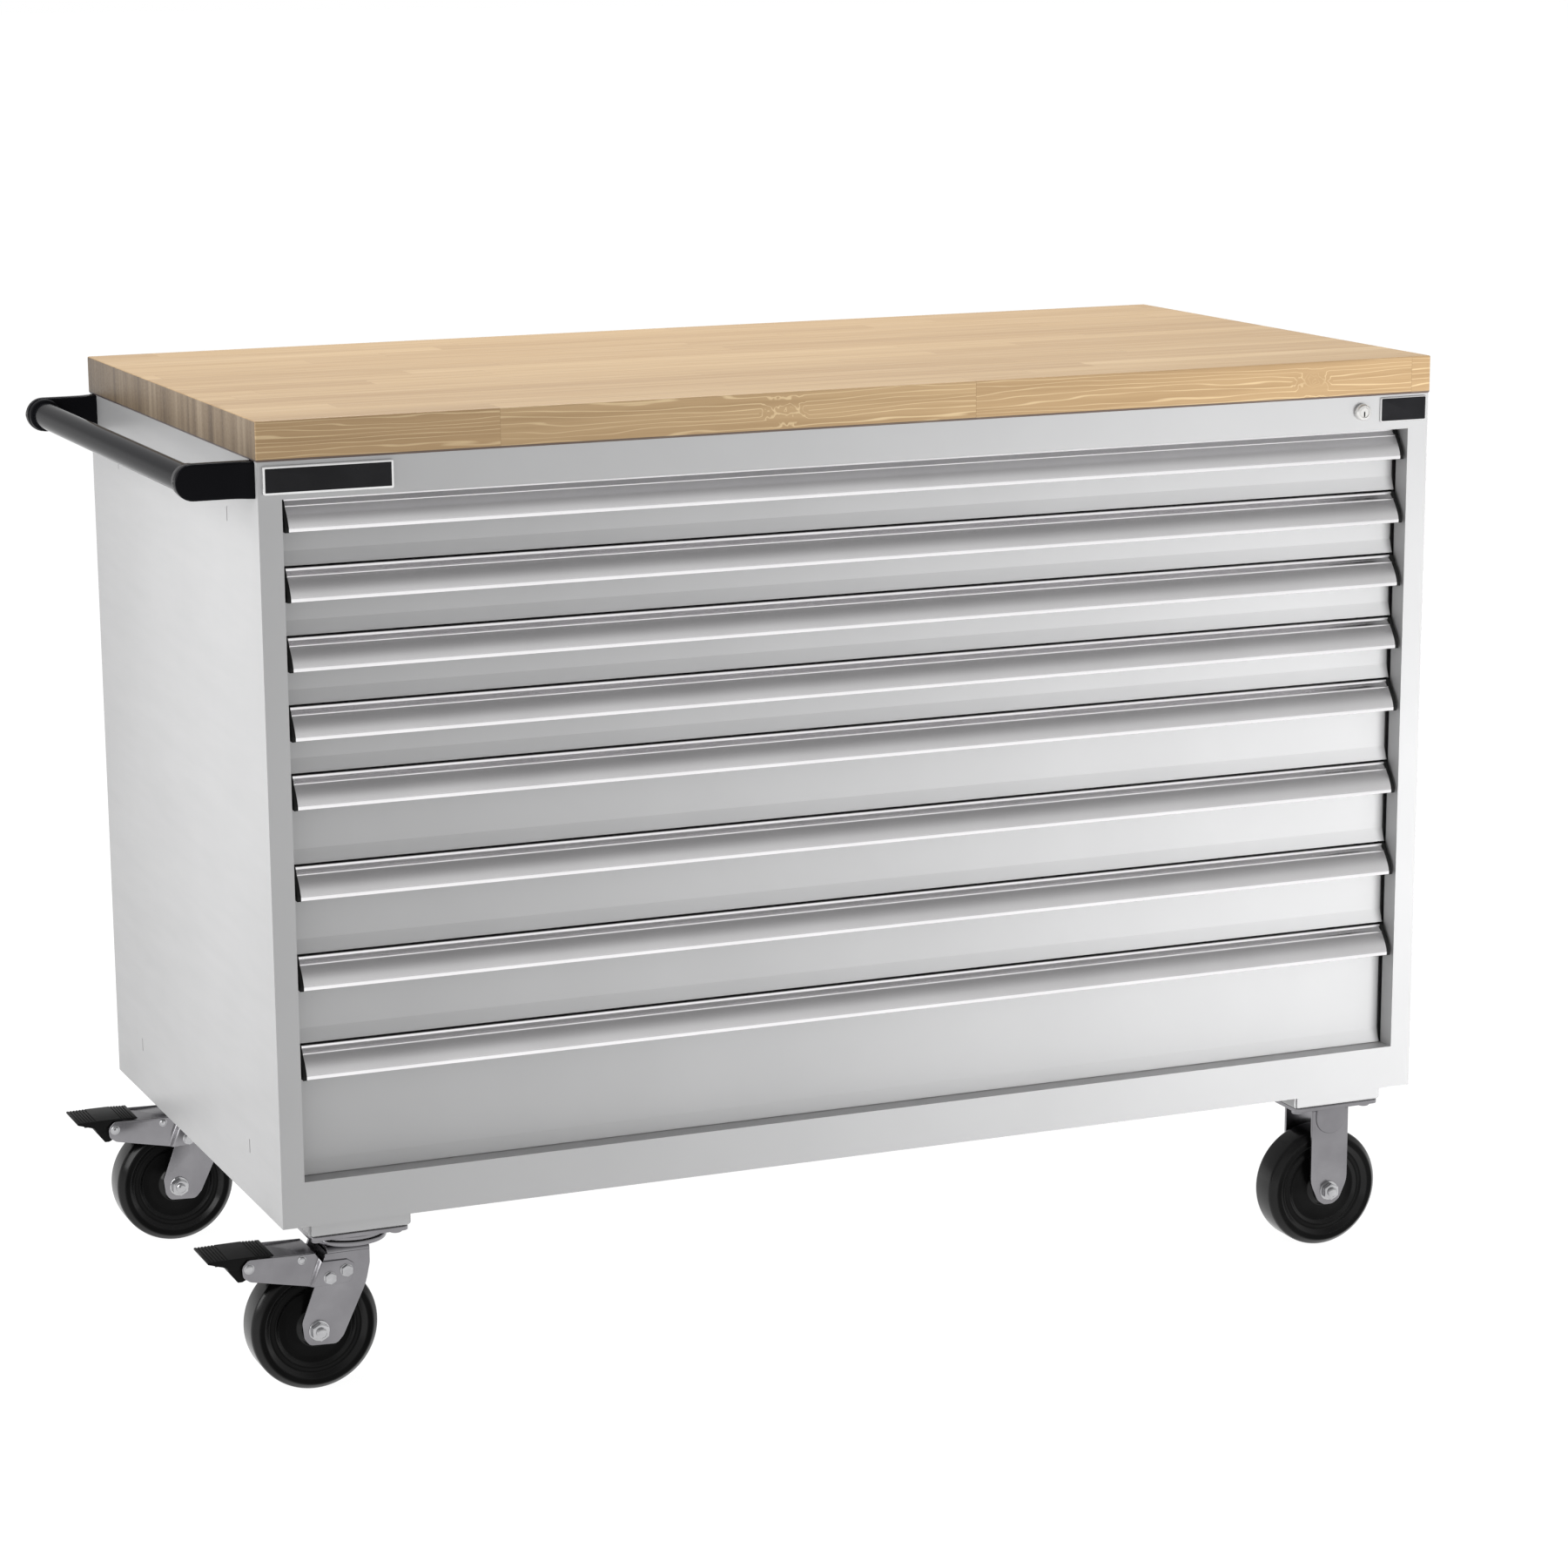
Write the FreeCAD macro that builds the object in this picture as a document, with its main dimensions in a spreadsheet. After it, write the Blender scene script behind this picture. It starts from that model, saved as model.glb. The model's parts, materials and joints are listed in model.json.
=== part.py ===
import FreeCAD, Part
import os
import Sketcher

# Rolling tool chest: a sheet steel cabinet with eight full-width drawers, a wooden worktop,
# a push handle on the left side, two braked swivel casters at the left and two rigid casters
# at the right. Millimetres, +Z up, the front faces -Y. The origin is on the floor, under the
# middle of the whole object's box.

Vector = FreeCAD.Vector

doc = FreeCAD.newDocument("RollingToolChest")
sheet = doc.addObject("Spreadsheet::Sheet", "Dims")

DRIVING = {
    # cabinet
    "cabinet_width": 1435,
    "cabinet_depth": 720,
    "body_height": 850,
    "gauge": 1.5,
    "fold": 25,
    "stile_width": 26.4,
    "header_height": 41,
    "base_height": 49,
    "sill_height": 2.5,
    "drawer_unit": 25.25,
    # worktop
    "top_thickness": 44,
    "top_overhang": 1.5,
    "top_rounding": 2,
    # drawers
    "front_setback": 30,
    "front_gap": 2.3,
    "front_flare": 5.5,
    "flare_height": 16,
    "tray_depth": 650,
    "tray_floor_gap": 6,
    "tray_rim_drop": 12,
    "slide_space": 12.7,
    "rail_height": 45,
    "rail_gauge": 1.5,
    "rail_play": 1.4,
    "column_depth": 45,
    "column_play": 8,
    "rail_lift": 6,
    "front_top_gap": 2,
    "front_foot_gap": 0.5,
    # pulls
    "pull_height": 34.6,
    "pull_setback": 21,
    "pull_top_gap": 1.5,
    "pull_wall": 2,
    "pull_plate_height": 28.6,
    "pull_end_gap": 7.6,
    "cap_thickness": 4.6,
    "cap_proud": 0.6,
    # push handle
    "handle_reach": 84.5,
    "handle_drop": 20,
    "tube_radius": 15.5,
    "collar_radius": 20,
    "bracket_thickness": 14,
    "bracket_inset": 17,
    "shoulder_width": 10,
    # casters
    "wheel_radius": 74,
    "wheel_width": 50,
    "plate_level": 183.6,
    "plate_thickness": 5,
    "plate_length": 114,
    "plate_width": 102,
    "bolt_span_long": 92,
    "bolt_span_short": 66.6,
    "channel_width": 119,
    "channel_height": 17.5,
    "channel_setback": 11,
    "channel_gauge": 2.5,
    "caster_offset_x": 625,
    "caster_offset_y": 298,
    "caster_lead": 46.5,
    "fork_inside": 30,
    "fork_gauge": 4,
    "arm_inside": 27,
    "arm_gauge": 3,
    "axle_radius": 6,
    "pivot_radius": 4,
    "running_play": 0.05,
    # lock and plates on the header
    "lock_inset": 90.4,
    "lock_radius": 9.5,
    "lock_reach": 8,
    "lock_lift": 2.5,
    "plug_radius": 6,
    "cam_radius": 10,
    "cam_thickness": 2,
    "barrel_length": 20,
    "nut_radius": 13,
    "nut_thickness": 4,
}

for row, (alias, value) in enumerate(DRIVING.items(), start=1):
    sheet.set(f"A{row}", alias.replace("_", " "))
    sheet.set(f"B{row}", str(value))
    sheet.setAlias(f"B{row}", alias)
doc.recompute()


class Size:
    """A length in millimetres that also carries its formula over the spreadsheet's cells."""

    def __init__(self, value, formula=None):
        self.value = float(value)
        self.formula = formula or f"({self.value:.6g})"

    def combine(self, sign, other):
        other = as_size(other)
        value = {"+": self.value + other.value, "-": self.value - other.value}[sign]
        return Size(value, f"({self.formula} {sign} {other.formula})")

    def __add__(self, other):
        return self.combine("+", other)

    def __radd__(self, other):
        return as_size(other).combine("+", self)

    def __sub__(self, other):
        return self.combine("-", other)

    def __rsub__(self, other):
        return as_size(other).combine("-", self)

    def __mul__(self, factor):
        return Size(self.value * factor, f"({self.formula} * {factor:.6g})")

    __rmul__ = __mul__

    def __neg__(self):
        return Size(-self.value, f"(-{self.formula})")


def as_size(value):
    return value if isinstance(value, Size) else Size(value)


def cell(alias):
    """The Size held by one cell of the spreadsheet."""
    return Size(getattr(sheet, alias), f"Dims.{alias}")


def bind(thing, name, size):
    thing.setExpression(name, as_size(size).formula)


def put_at(thing, x=0, y=0, z=0):
    for letter, size in zip("xyz", (x, y, z)):
        bind(thing, f"Placement.Base.{letter}", size)
    return thing


# ---------------------------------------------------------------- shapes

AXES = {
    "X": FreeCAD.Rotation(Vector(0, 1, 0), 90),
    "Y": FreeCAD.Rotation(Vector(1, 0, 0), -90),
    "Z": FreeCAD.Rotation(),
}


def box(name, x, y, z):
    """A box between the low and high values of x, y and z."""
    solid = doc.addObject("Part::Box", name)
    for side, (low, high) in zip(("Length", "Width", "Height"), (x, y, z)):
        bind(solid, side, as_size(high) - low)
    return put_at(solid, x[0], y[0], z[0])


def cylinder(name, axis, radius, length, x, y, z):
    """A cylinder that starts at (x, y, z) and runs along the axis."""
    solid = doc.addObject("Part::Cylinder", name)
    solid.Placement = FreeCAD.Placement(Vector(), AXES[axis])
    bind(solid, "Radius", radius)
    bind(solid, "Height", length)
    return put_at(solid, x, y, z)


def hexagon(name, radius, length, x, y, z):
    """A hexagonal prism along Y, as wide across its corners as twice the radius."""
    solid = doc.addObject("Part::Prism", name)
    solid.Placement = FreeCAD.Placement(Vector(), AXES["Y"])
    solid.Polygon = 6
    bind(solid, "Circumradius", radius)
    bind(solid, "Height", length)
    return put_at(solid, x, y, z)


def outline(body, plane, corners):
    """A closed sketch of straight lines, with each corner held by its two coordinates."""
    sketch = body.newObject("Sketcher::SketchObject", f"{body.Name}_sketch")
    support = [f for f in body.Origin.OriginFeatures if f.Role == f"{plane}_Plane"][0]
    sketch.AttachmentSupport = [(support, "")]
    sketch.MapMode = "FlatFace"
    corners = [(as_size(across), as_size(up)) for across, up in corners]
    points = [Vector(across.value, up.value, 0) for across, up in corners]
    count = len(points)
    for index, point in enumerate(points):
        sketch.addGeometry(Part.LineSegment(point, points[(index + 1) % count]), False)
    for index in range(count):
        sketch.addConstraint(Sketcher.Constraint("Coincident", index, 2, (index + 1) % count, 1))
    for index, corner in enumerate(corners):
        for kind, size in zip(("DistanceX", "DistanceY"), corner):
            number = sketch.addConstraint(Sketcher.Constraint(kind, -1, 1, index, 1, size.value))
            sketch.setExpression(f"Constraints[{number}]", size.formula)
    return sketch


def extrusion(name, plane, corners, low, high):
    """A body padded from an outline in the XY, XZ or YZ plane, between low and high."""
    body = doc.addObject("PartDesign::Body", name)
    sketch = outline(body, plane, corners)
    pad = body.newObject("PartDesign::Pad", f"{name}_pad")
    pad.Profile = sketch
    bind(pad, "Length", as_size(high) - low)
    places = {"XY": ("z", low), "XZ": ("y", high), "YZ": ("x", low)}
    letter, size = places[plane]
    return put_at(body, **{letter: size})


def rounded(body, radius, picks):
    """Rounds the body's edges that pass through the given points, kept as its last feature."""
    doc.recompute()
    base = body.Tip
    found = [
        f"Edge{number}"
        for number, edge in enumerate(base.Shape.Edges, start=1)
        if any(edge.distToShape(Part.Vertex(point))[0] < 1e-4 for point in picks)
    ]
    fillet = body.newObject("PartDesign::Fillet", f"{body.Name}_rounding")
    fillet.Base = (base, found)
    bind(fillet, "Radius", radius)
    body.Tip = fillet
    return body


def cut(name, base, tools):
    tool = tools[0] if len(tools) == 1 else group(f"{name}_tools", tools)
    result = doc.addObject("Part::Cut", name)
    result.Base = base
    result.Tool = tool
    return result


def fuse(name, shapes):
    result = doc.addObject("Part::MultiFuse", name)
    result.Shapes = shapes
    return result


def group(name, shapes):
    """Several separate solids that make one node."""
    result = doc.addObject("Part::Compound", name)
    result.Links = shapes
    return result


PIECES = {}


def keep(name, piece):
    piece.Label = name
    PIECES[name] = piece
    return piece


# ---------------------------------------------------------------- shared places

gauge = cell("gauge")
fold = cell("fold")
stile = cell("stile_width")
overhang = cell("top_overhang")

# The handle makes the object longer to the left than to the right, and the lock stands
# out of the front, so the cabinet's middle is a little off the origin.
middle_x = (cell("handle_reach") - overhang) * 0.5
middle_y = (cell("lock_reach") - overhang) * 0.5
left = middle_x - cell("cabinet_width") * 0.5
right = middle_x + cell("cabinet_width") * 0.5
front = middle_y - cell("cabinet_depth") * 0.5
back = middle_y + cell("cabinet_depth") * 0.5

channel_low = cell("plate_level") + cell("plate_thickness")
base_low = channel_low + cell("channel_height")
seam = base_low + cell("base_height")
body_top = base_low + cell("body_height")
bay_low = seam + cell("sill_height")
bay_high = body_top - cell("header_height")
bay_left = left + stile
bay_right = right - stile
header_middle = (bay_high + body_top) * 0.5

CASTER_Y = {
    "front": middle_y - cell("caster_offset_y"),
    "rear": middle_y + cell("caster_offset_y"),
}
BOLT_RADIUS = 5

SIDES = {"left": (left, 1), "right": (right, -1)}


def inward(side, distance):
    """The X of a plane that lies a distance inside the left or right face of the cabinet."""
    face, sign = SIDES[side]
    return face + as_size(distance) * sign


def plate_bolt_places(x):
    """The X and Y of the bolts that hold the two casters whose plates are centred on x."""
    return [
        (x + cell("bolt_span_long") * 0.5 * i, y + cell("bolt_span_short") * 0.5 * j)
        for y in CASTER_Y.values()
        for i in (-1, 1)
        for j in (-1, 1)
    ]


def span(first, second):
    """Two coordinates in rising order."""
    return (first, second) if as_size(first).value < as_size(second).value else (second, first)


# ---------------------------------------------------------------- cabinet shell

def side_panel(side):
    """A side skin folded round into the front stile and the rear flange, with a top flange."""
    name = f"{side}_side_panel"
    skin = extrusion(f"{name}_skin", "XY", [
        (inward(side, 0), front),
        (inward(side, stile), front),
        (inward(side, stile), front + fold),
        (inward(side, stile - gauge), front + fold),
        (inward(side, stile - gauge), front + gauge),
        (inward(side, gauge), front + gauge),
        (inward(side, gauge), back - gauge),
        (inward(side, fold), back - gauge),
        (inward(side, fold), back),
        (inward(side, 0), back),
    ], seam, body_top)
    flange = box(
        f"{name}_flange",
        span(inward(side, gauge), inward(side, stile - gauge)),
        (front + gauge, back - gauge),
        (body_top - gauge, body_top),
    )
    slot_offset = 236
    slot_half_width = 1
    slot_half_height = 8
    slots = [
        box(
            f"{name}_slot",
            span(inward(side, -1), inward(side, gauge + 1)),
            (middle_y + along - slot_half_width, middle_y + along + slot_half_width),
            (level - slot_half_height, level + slot_half_height),
        )
        for along in (-slot_offset, slot_offset)
        for level in (seam + 14, bay_high - 29)
    ]
    return keep(name, cut(name, fuse(f"{name}_folded", [skin, flange]), slots))


def back_panel():
    keep("back_panel", box(
        "back_panel",
        (left + gauge, right - gauge),
        (back - gauge * 2, back - gauge),
        (seam, body_top - gauge),
    ))


def front_header():
    """The rail above the drawers, folded back at its top and bottom, with the lock's hole."""
    rail = extrusion("header_rail", "YZ", [
        (front, bay_high),
        (front + fold, bay_high),
        (front + fold, bay_high + gauge),
        (front + gauge, bay_high + gauge),
        (front + gauge, body_top - gauge),
        (front + fold, body_top - gauge),
        (front + fold, body_top),
        (front, body_top),
    ], bay_left, bay_right)
    hole = cylinder("header_hole", "Y", barrel_radius, fold, lock_x, front - 5, lock_z)
    keep("front_header", cut("front_header", rail, [hole]))


def base_pan():
    """A shallow steel pan under the drawers, with the sill along its front."""
    shell = box("base_shell", (left, right), (front, back), (base_low, seam))
    inside = box(
        "base_inside",
        (left + gauge, right - gauge),
        (front + gauge, back - gauge),
        (base_low + gauge, seam + 1),
    )
    pan = cut("base_folded", shell, [inside])
    sill = box("base_sill", (bay_left, bay_right), (front, front + fold), (seam, bay_low))
    ledge = box(
        "base_ledge",
        (left + gauge, right - gauge),
        (front + gauge, front + fold),
        (seam - gauge, seam),
    )
    keep("base_pan", fuse("base_pan", [pan, sill, ledge]))


def caster_channels():
    """Two shallow pans, open at the top, that stiffen the base over the casters."""
    setback = cell("channel_setback")
    wall = cell("channel_gauge")
    half = cell("channel_width") * 0.5
    channels = []
    for sign in (-1, 1):
        centre = middle_x + cell("caster_offset_x") * sign
        shell = box(
            "channel_shell",
            (centre - half, centre + half),
            (front + setback, back - setback),
            (channel_low, base_low),
        )
        inside = box(
            "channel_inside",
            (centre - half + wall, centre + half - wall),
            (front + setback + wall, back - setback - wall),
            (channel_low + wall, base_low + 1),
        )
        holes = [
            cylinder("channel_hole", "Z", BOLT_RADIUS, 20, x, y, channel_low - 10)
            for x, y in plate_bolt_places(centre)
        ]
        channels.append(cut("channel", shell, [inside, *holes]))
    keep("caster_channels", group("caster_channels", channels))


def worktop():
    """One thick board, glued up from staves, with softened edges all round."""
    board = extrusion("worktop", "XY", [
        (left - overhang, front - overhang),
        (right + overhang, front - overhang),
        (right + overhang, back + overhang),
        (left - overhang, back + overhang),
    ], body_top, body_top + cell("top_thickness"))
    doc.recompute()
    corners = [vertex.Point for vertex in board.Tip.Shape.Vertexes]
    keep("worktop", rounded(board, cell("top_rounding"), corners))


# ---------------------------------------------------------------- drawers

DRAWER_UNITS = (3, 3, 3, 3, 4, 4, 4, 6)

rail_gauge = cell("rail_gauge")
slide_space = cell("slide_space")
column_front = front + fold + cell("column_play")
front_plane = front + cell("front_setback")
tray_back = front_plane + cell("tray_depth")
column_back_low = tray_back - cell("column_depth")
pull_edge = front + cell("pull_setback")
pull_low_x = bay_left + cell("pull_end_gap")
pull_high_x = bay_right - cell("pull_end_gap")


def drawer_levels():
    """The low and high level of each drawer's place in the bay, from the top down."""
    levels = []
    high = bay_high
    for units in DRAWER_UNITS:
        low = high - cell("drawer_unit") * units
        levels.append((low, high))
        high = low
    return levels


def rail_middle(low):
    """Each slide runs a little above its tray's floor."""
    return low + cell("tray_floor_gap") + cell("rail_lift") + cell("rail_height") * 0.5


def channel_rail(name, side, web, lip, half, middle, y):
    """A rail with its web at one distance from the bay's wall and its lips at another."""
    wall = stile + web
    edge = stile + lip
    inner = wall + rail_gauge if lip.value > web.value else wall - rail_gauge
    return extrusion(name, "XZ", [
        (inward(side, wall), middle - half),
        (inward(side, edge), middle - half),
        (inward(side, edge), middle - half + rail_gauge),
        (inward(side, inner), middle - half + rail_gauge),
        (inward(side, inner), middle + half - rail_gauge),
        (inward(side, edge), middle + half - rail_gauge),
        (inward(side, edge), middle + half),
        (inward(side, wall), middle + half),
    ], *y)


fixed_half = cell("rail_height") * 0.5
carriage_half = fixed_half - rail_gauge - cell("rail_play")
member_half = carriage_half - rail_gauge - cell("rail_play")


def slide_columns():
    """Four upright columns, and on them a fixed rail for each side of each drawer."""
    solids = []
    for side in SIDES:
        for low_y in (column_front, column_back_low):
            high_y = low_y + cell("column_depth")
            solids.append(extrusion(f"{side}_column", "XY", [
                (inward(side, gauge), low_y),
                (inward(side, stile), low_y),
                (inward(side, stile), high_y),
                (inward(side, gauge), high_y),
                (inward(side, gauge), high_y - gauge),
                (inward(side, stile - gauge), high_y - gauge),
                (inward(side, stile - gauge), low_y + gauge),
                (inward(side, gauge), low_y + gauge),
            ], base_low + gauge, body_top - gauge))
        for number, (low, _) in enumerate(drawer_levels(), start=1):
            solids.append(channel_rail(
                f"{side}_rail_{number}", side, as_size(0), slide_space - 3.5,
                fixed_half, rail_middle(low), (column_front, tray_back),
            ))
    keep("slide_columns", group("slide_columns", solids))


def carriage(number, low):
    """The middle member of both slides, which goes half as far as the drawer."""
    solids = [
        channel_rail(
            f"{side}_carriage_{number}", side, rail_gauge + 0.8, slide_space - 2.2,
            carriage_half, rail_middle(low), (column_front, tray_back),
        )
        for side in SIDES
    ]
    keep(f"carriage_{number}", group(f"carriage_{number}", solids))


def tray(number, low, high):
    """A folded steel drawer: front, open box and the two slide members on its sides."""
    name = f"drawer_{number}_tray"
    floor = low + cell("tray_floor_gap")
    rim = high - cell("tray_rim_drop")
    x = (bay_left + slide_space, bay_right - slide_space)
    shell = box(f"{name}_shell", x, (front_plane, tray_back), (floor, rim))
    inside = box(
        f"{name}_inside",
        (x[0] + gauge, x[1] - gauge),
        (front_plane + gauge, tray_back - gauge),
        (floor + gauge, rim + 1),
    )
    top = high - cell("front_top_gap")
    foot = low + cell("front_foot_gap")
    knee = low + cell("flare_height")
    middle = low + cell("flare_height") * 0.5
    flare = cell("front_flare")
    bend = flare * 0.25
    face = extrusion(f"{name}_face", "YZ", [
        (front_plane, top),
        (front_plane, knee),
        (front_plane - bend, middle),
        (front_plane - flare, foot),
        (front_plane - flare + gauge * 1.15, foot),
        (front_plane - bend + gauge * 1.05, middle),
        (front_plane + gauge, knee),
        (front_plane + gauge, top),
    ], bay_left + cell("front_gap"), bay_right - cell("front_gap"))
    box_open = cut(f"{name}_box", shell, [inside])
    members = [
        channel_rail(
            f"{side}_member_{number}", side, slide_space, rail_gauge * 2 + 1.8,
            member_half, rail_middle(low), (column_front, tray_back),
        )
        for side in SIDES
    ]
    folded = fuse(f"{name}_folded", [box_open, face])
    keep(name, group(name, [folded, *members]))


# The pull's outer surface, then its hollow: how far each corner stands in front of the edge
# of the pull's top, and how far below the top it lies as a share of the pull's height.
PULL_CURVE = ((5.0, 0.237), (10.2, 0.431), (14.3, 0.613), (18.2, 0.853), (18.2, 1.0))
PULL_HOLLOW = ((15.8, 1.0), (16.2, 0.866), (12.5, 0.641), (8.6, 0.464), (3.3, 0.270))
HOLLOW_EDGE = 1.1


def pull_outline(top, proud):
    """The pull's nose from the drawer's face over the top to the lip, or a little proud of it."""
    tall = cell("pull_height")
    curve = [(pull_edge - out - proud, top - tall * share) for out, share in PULL_CURVE]
    foot, level = curve.pop()
    return [
        (front_plane, top + proud),
        (pull_edge - proud, top + proud),
        *curve,
        (foot, level - proud),
    ]


def pull(number, high):
    """An aluminium extrusion: a back plate on the drawer and a nose hollow from below."""
    name = f"drawer_{number}_pull"
    top = high - cell("pull_top_gap")
    tall = cell("pull_height")
    wall = cell("pull_wall")
    plate_foot = top - cell("pull_plate_height")
    hollow = [(pull_edge - out, top - tall * share) for out, share in PULL_HOLLOW]
    corners = pull_outline(top, 0) + hollow + [
        (pull_edge + HOLLOW_EDGE, top - wall),
        (front_plane - wall, top - wall),
        (front_plane - wall, plate_foot),
        (front_plane, plate_foot),
    ]
    keep(name, extrusion(name, "YZ", corners, pull_low_x, pull_high_x))


def caps(number, high):
    """Two moulded plates that close the ends of the pull and stand slightly proud of it."""
    top = high - cell("pull_top_gap")
    thick = cell("cap_thickness")
    proud = cell("cap_proud")
    foot = top - cell("pull_height") - proud
    ends = [
        extrusion(
            f"cap_{number}", "YZ", pull_outline(top, proud) + [(front_plane, foot)],
            low_x, low_x + thick,
        )
        for low_x in (pull_low_x - thick, pull_high_x)
    ]
    name = f"drawer_{number}_caps"
    keep(name, group(name, ends))


# ---------------------------------------------------------------- lock and plates

barrel_radius = cell("lock_radius") - 1.5
play = cell("running_play")
plug_radius = cell("plug_radius")
cam_radius = cell("cam_radius")
lock_x = right - cell("lock_inset")
lock_z = header_middle + cell("lock_lift")
cam_low = front + fold + 0.5
cam_high = cam_low + cell("cam_thickness")
PIN_RADIUS = 2
PIN_LENGTH = 4
PIN_PLAY = 0.8
# The cam's pin starts 45 degrees to the left of upright, and ends 45 degrees to the right.
cam_offset = cam_radius * 0.5 ** 0.5


def lock():
    """A key lock: housing through the header, plug with a cam, and the bar that it drives."""
    nose = front - cell("lock_reach")
    knob = cylinder("lock_knob", "Y", cell("lock_radius"), cell("lock_reach"), lock_x, nose, lock_z)
    barrel = cylinder(
        "lock_barrel", "Y", barrel_radius, cell("barrel_length"), lock_x, front, lock_z)
    bore = cylinder("lock_bore", "Y", plug_radius + play, 60, lock_x, nose - 5, lock_z)
    housing = fuse("lock_outer", [knob, barrel])
    keep("lock_housing", cut("lock_housing", housing, [bore]))

    core = cylinder("plug_core", "Y", plug_radius, cam_low - nose, lock_x, nose, lock_z)
    keyway = box(
        "plug_keyway",
        (lock_x - 0.7, lock_x + 0.7),
        (nose - 1, nose + 12),
        (lock_z - 4.5, lock_z + 0.5),
    )
    arm = extrusion("plug_cam", "XZ", [
        (lock_x - 4, lock_z - 4),
        (lock_x + 4, lock_z - 4),
        (lock_x + 4, lock_z + 2),
        (lock_x - cam_offset + 3, lock_z + cam_offset + 3),
        (lock_x - cam_offset - 3, lock_z + cam_offset + 3),
        (lock_x - cam_offset - 3, lock_z + cam_offset - 3),
    ], cam_low, cam_high)
    pin_x = lock_x - cam_offset
    pin_z = lock_z + cam_offset
    pin = cylinder("plug_pin", "Y", PIN_RADIUS, PIN_LENGTH, pin_x, cam_high, pin_z)
    solid = fuse("plug_outer", [core, arm, pin])
    keep("lock_plug", cut("lock_plug", solid, [keyway]))

    bar = box(
        "lock_bar_blank",
        (lock_x - 40, right - 20),
        (cam_high + 0.6, cam_high + 3),
        (lock_z - 1, lock_z + 15.5),
    )
    slot_half = PIN_RADIUS + PIN_PLAY
    slot = box(
        "lock_bar_slot",
        (pin_x - slot_half, pin_x + slot_half),
        (cam_low, cam_high + PIN_LENGTH),
        (pin_z - slot_half, lock_z + cam_radius + slot_half),
    )
    keep("lock_bar", cut("lock_bar", bar, [slot]))


def badge_plates():
    """Two blank name plates on the header, one at each end."""
    plates = [
        box(
            "name_plate",
            (left + 5.2, left + 151),
            (front - 3, front),
            (header_middle - 15, header_middle + 16),
        ),
        box(
            "emblem_plate",
            (right - 65.5, right - 3.5),
            (front - 2.5, front),
            (header_middle - 11, header_middle + 18),
        ),
    ]
    keep("badge_plates", group("badge_plates", plates))


# ---------------------------------------------------------------- push handle

tube_x = left - cell("handle_reach") + cell("collar_radius")
tube_z = body_top - cell("handle_drop")


def push_handle():
    """A round tube between two flat brackets, each with a collar and a flared foot."""
    collar = cell("collar_radius")
    solids = []
    ends = []
    for sign in (-1, 1):
        outer = middle_y + (cell("cabinet_depth") * 0.5 - cell("bracket_inset")) * sign
        inner = outer - cell("bracket_thickness") * sign
        shoulder = inner - cell("shoulder_width") * sign
        foot = outer + as_size(9) * sign
        plate = extrusion("bracket_plate", "XY", [
            (tube_x, outer),
            (tube_x, inner),
            (left, inner),
            (left, foot),
            (left - 6, outer + as_size(7) * sign),
            (left - 14, outer + as_size(2.5) * sign),
            (left - 24, outer),
        ], tube_z - collar, tube_z + collar)
        low_y, high_y = span(outer, inner)
        end = cylinder("bracket_end", "Y", collar, high_y - low_y, tube_x, low_y, tube_z)
        low_y, high_y = span(inner, shoulder)
        ring = cylinder("bracket_collar", "Y", collar - 1, high_y - low_y, tube_x, low_y, tube_z)
        solids.append(fuse("handle_bracket", [plate, end, ring]))
        ends.append(shoulder)
    tube = cylinder(
        "handle_tube", "Y", cell("tube_radius"), ends[1] - ends[0], tube_x, ends[0], tube_z)
    keep("push_handle", group("push_handle", [tube, *solids]))


# ---------------------------------------------------------------- casters

plate_low = cell("plate_level")
plate_high = plate_low + cell("plate_thickness")
fork_inside = cell("fork_inside")
fork_gauge = cell("fork_gauge")
fork_outside = fork_inside + fork_gauge
arm_inside = cell("arm_inside")
arm_gauge = cell("arm_gauge")
axle_radius = cell("axle_radius")
pivot_radius = cell("pivot_radius")
axle_z = cell("wheel_radius")
swivel_x = middle_x - cell("caster_offset_x")
rigid_x = middle_x + cell("caster_offset_x")
lead_x = swivel_x - cell("caster_lead")
KINGPIN_RADIUS = 7.75
RACE_RADIUS = 43
FORK_TOP = 14
BOSS_HEIGHT = 2.5


def both_sides(name, corners, x, y, inner, thickness):
    """The same plate on both sides of a caster, at the given distance from its middle."""
    placed = [(x + across, up) for across, up in corners]
    return [
        extrusion(f"{name}_near", "XZ", placed, y - inner - thickness, y - inner),
        extrusion(f"{name}_far", "XZ", placed, y + inner, y + inner + thickness),
    ]


def mounting_plate(x, y):
    """A caster's top plate with its four bolt holes."""
    half_long = cell("plate_length") * 0.5
    half_wide = cell("plate_width") * 0.5
    plate = box(
        "top_plate",
        (x - half_long, x + half_long),
        (y - half_wide, y + half_wide),
        (plate_low, plate_high),
    )
    holes = [
        cylinder("plate_hole", "Z", BOLT_RADIUS, 20, hole_x, hole_y, plate_low - 5)
        for hole_x, hole_y in plate_bolt_places(x)
        if abs(hole_y.value - y.value) < half_wide.value
    ]
    return cut("drilled_plate", plate, holes)


def swivel_plates():
    """The fixed half of each swivel caster: plate, upper ball race and kingpin."""
    solids = []
    for y in CASTER_Y.values():
        race = cylinder("upper_race", "Z", RACE_RADIUS, 7, swivel_x, y, plate_low - 7)
        pin = cylinder("kingpin", "Z", KINGPIN_RADIUS, 22, swivel_x, y, plate_low - 22)
        foot = cylinder("kingpin_head", "Z", 12, 4, swivel_x, y, plate_low - 25)
        solids.append(fuse("swivel_plate", [mounting_plate(swivel_x, y), race, pin, foot]))
    keep("swivel_plates", group("swivel_plates", solids))


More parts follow.
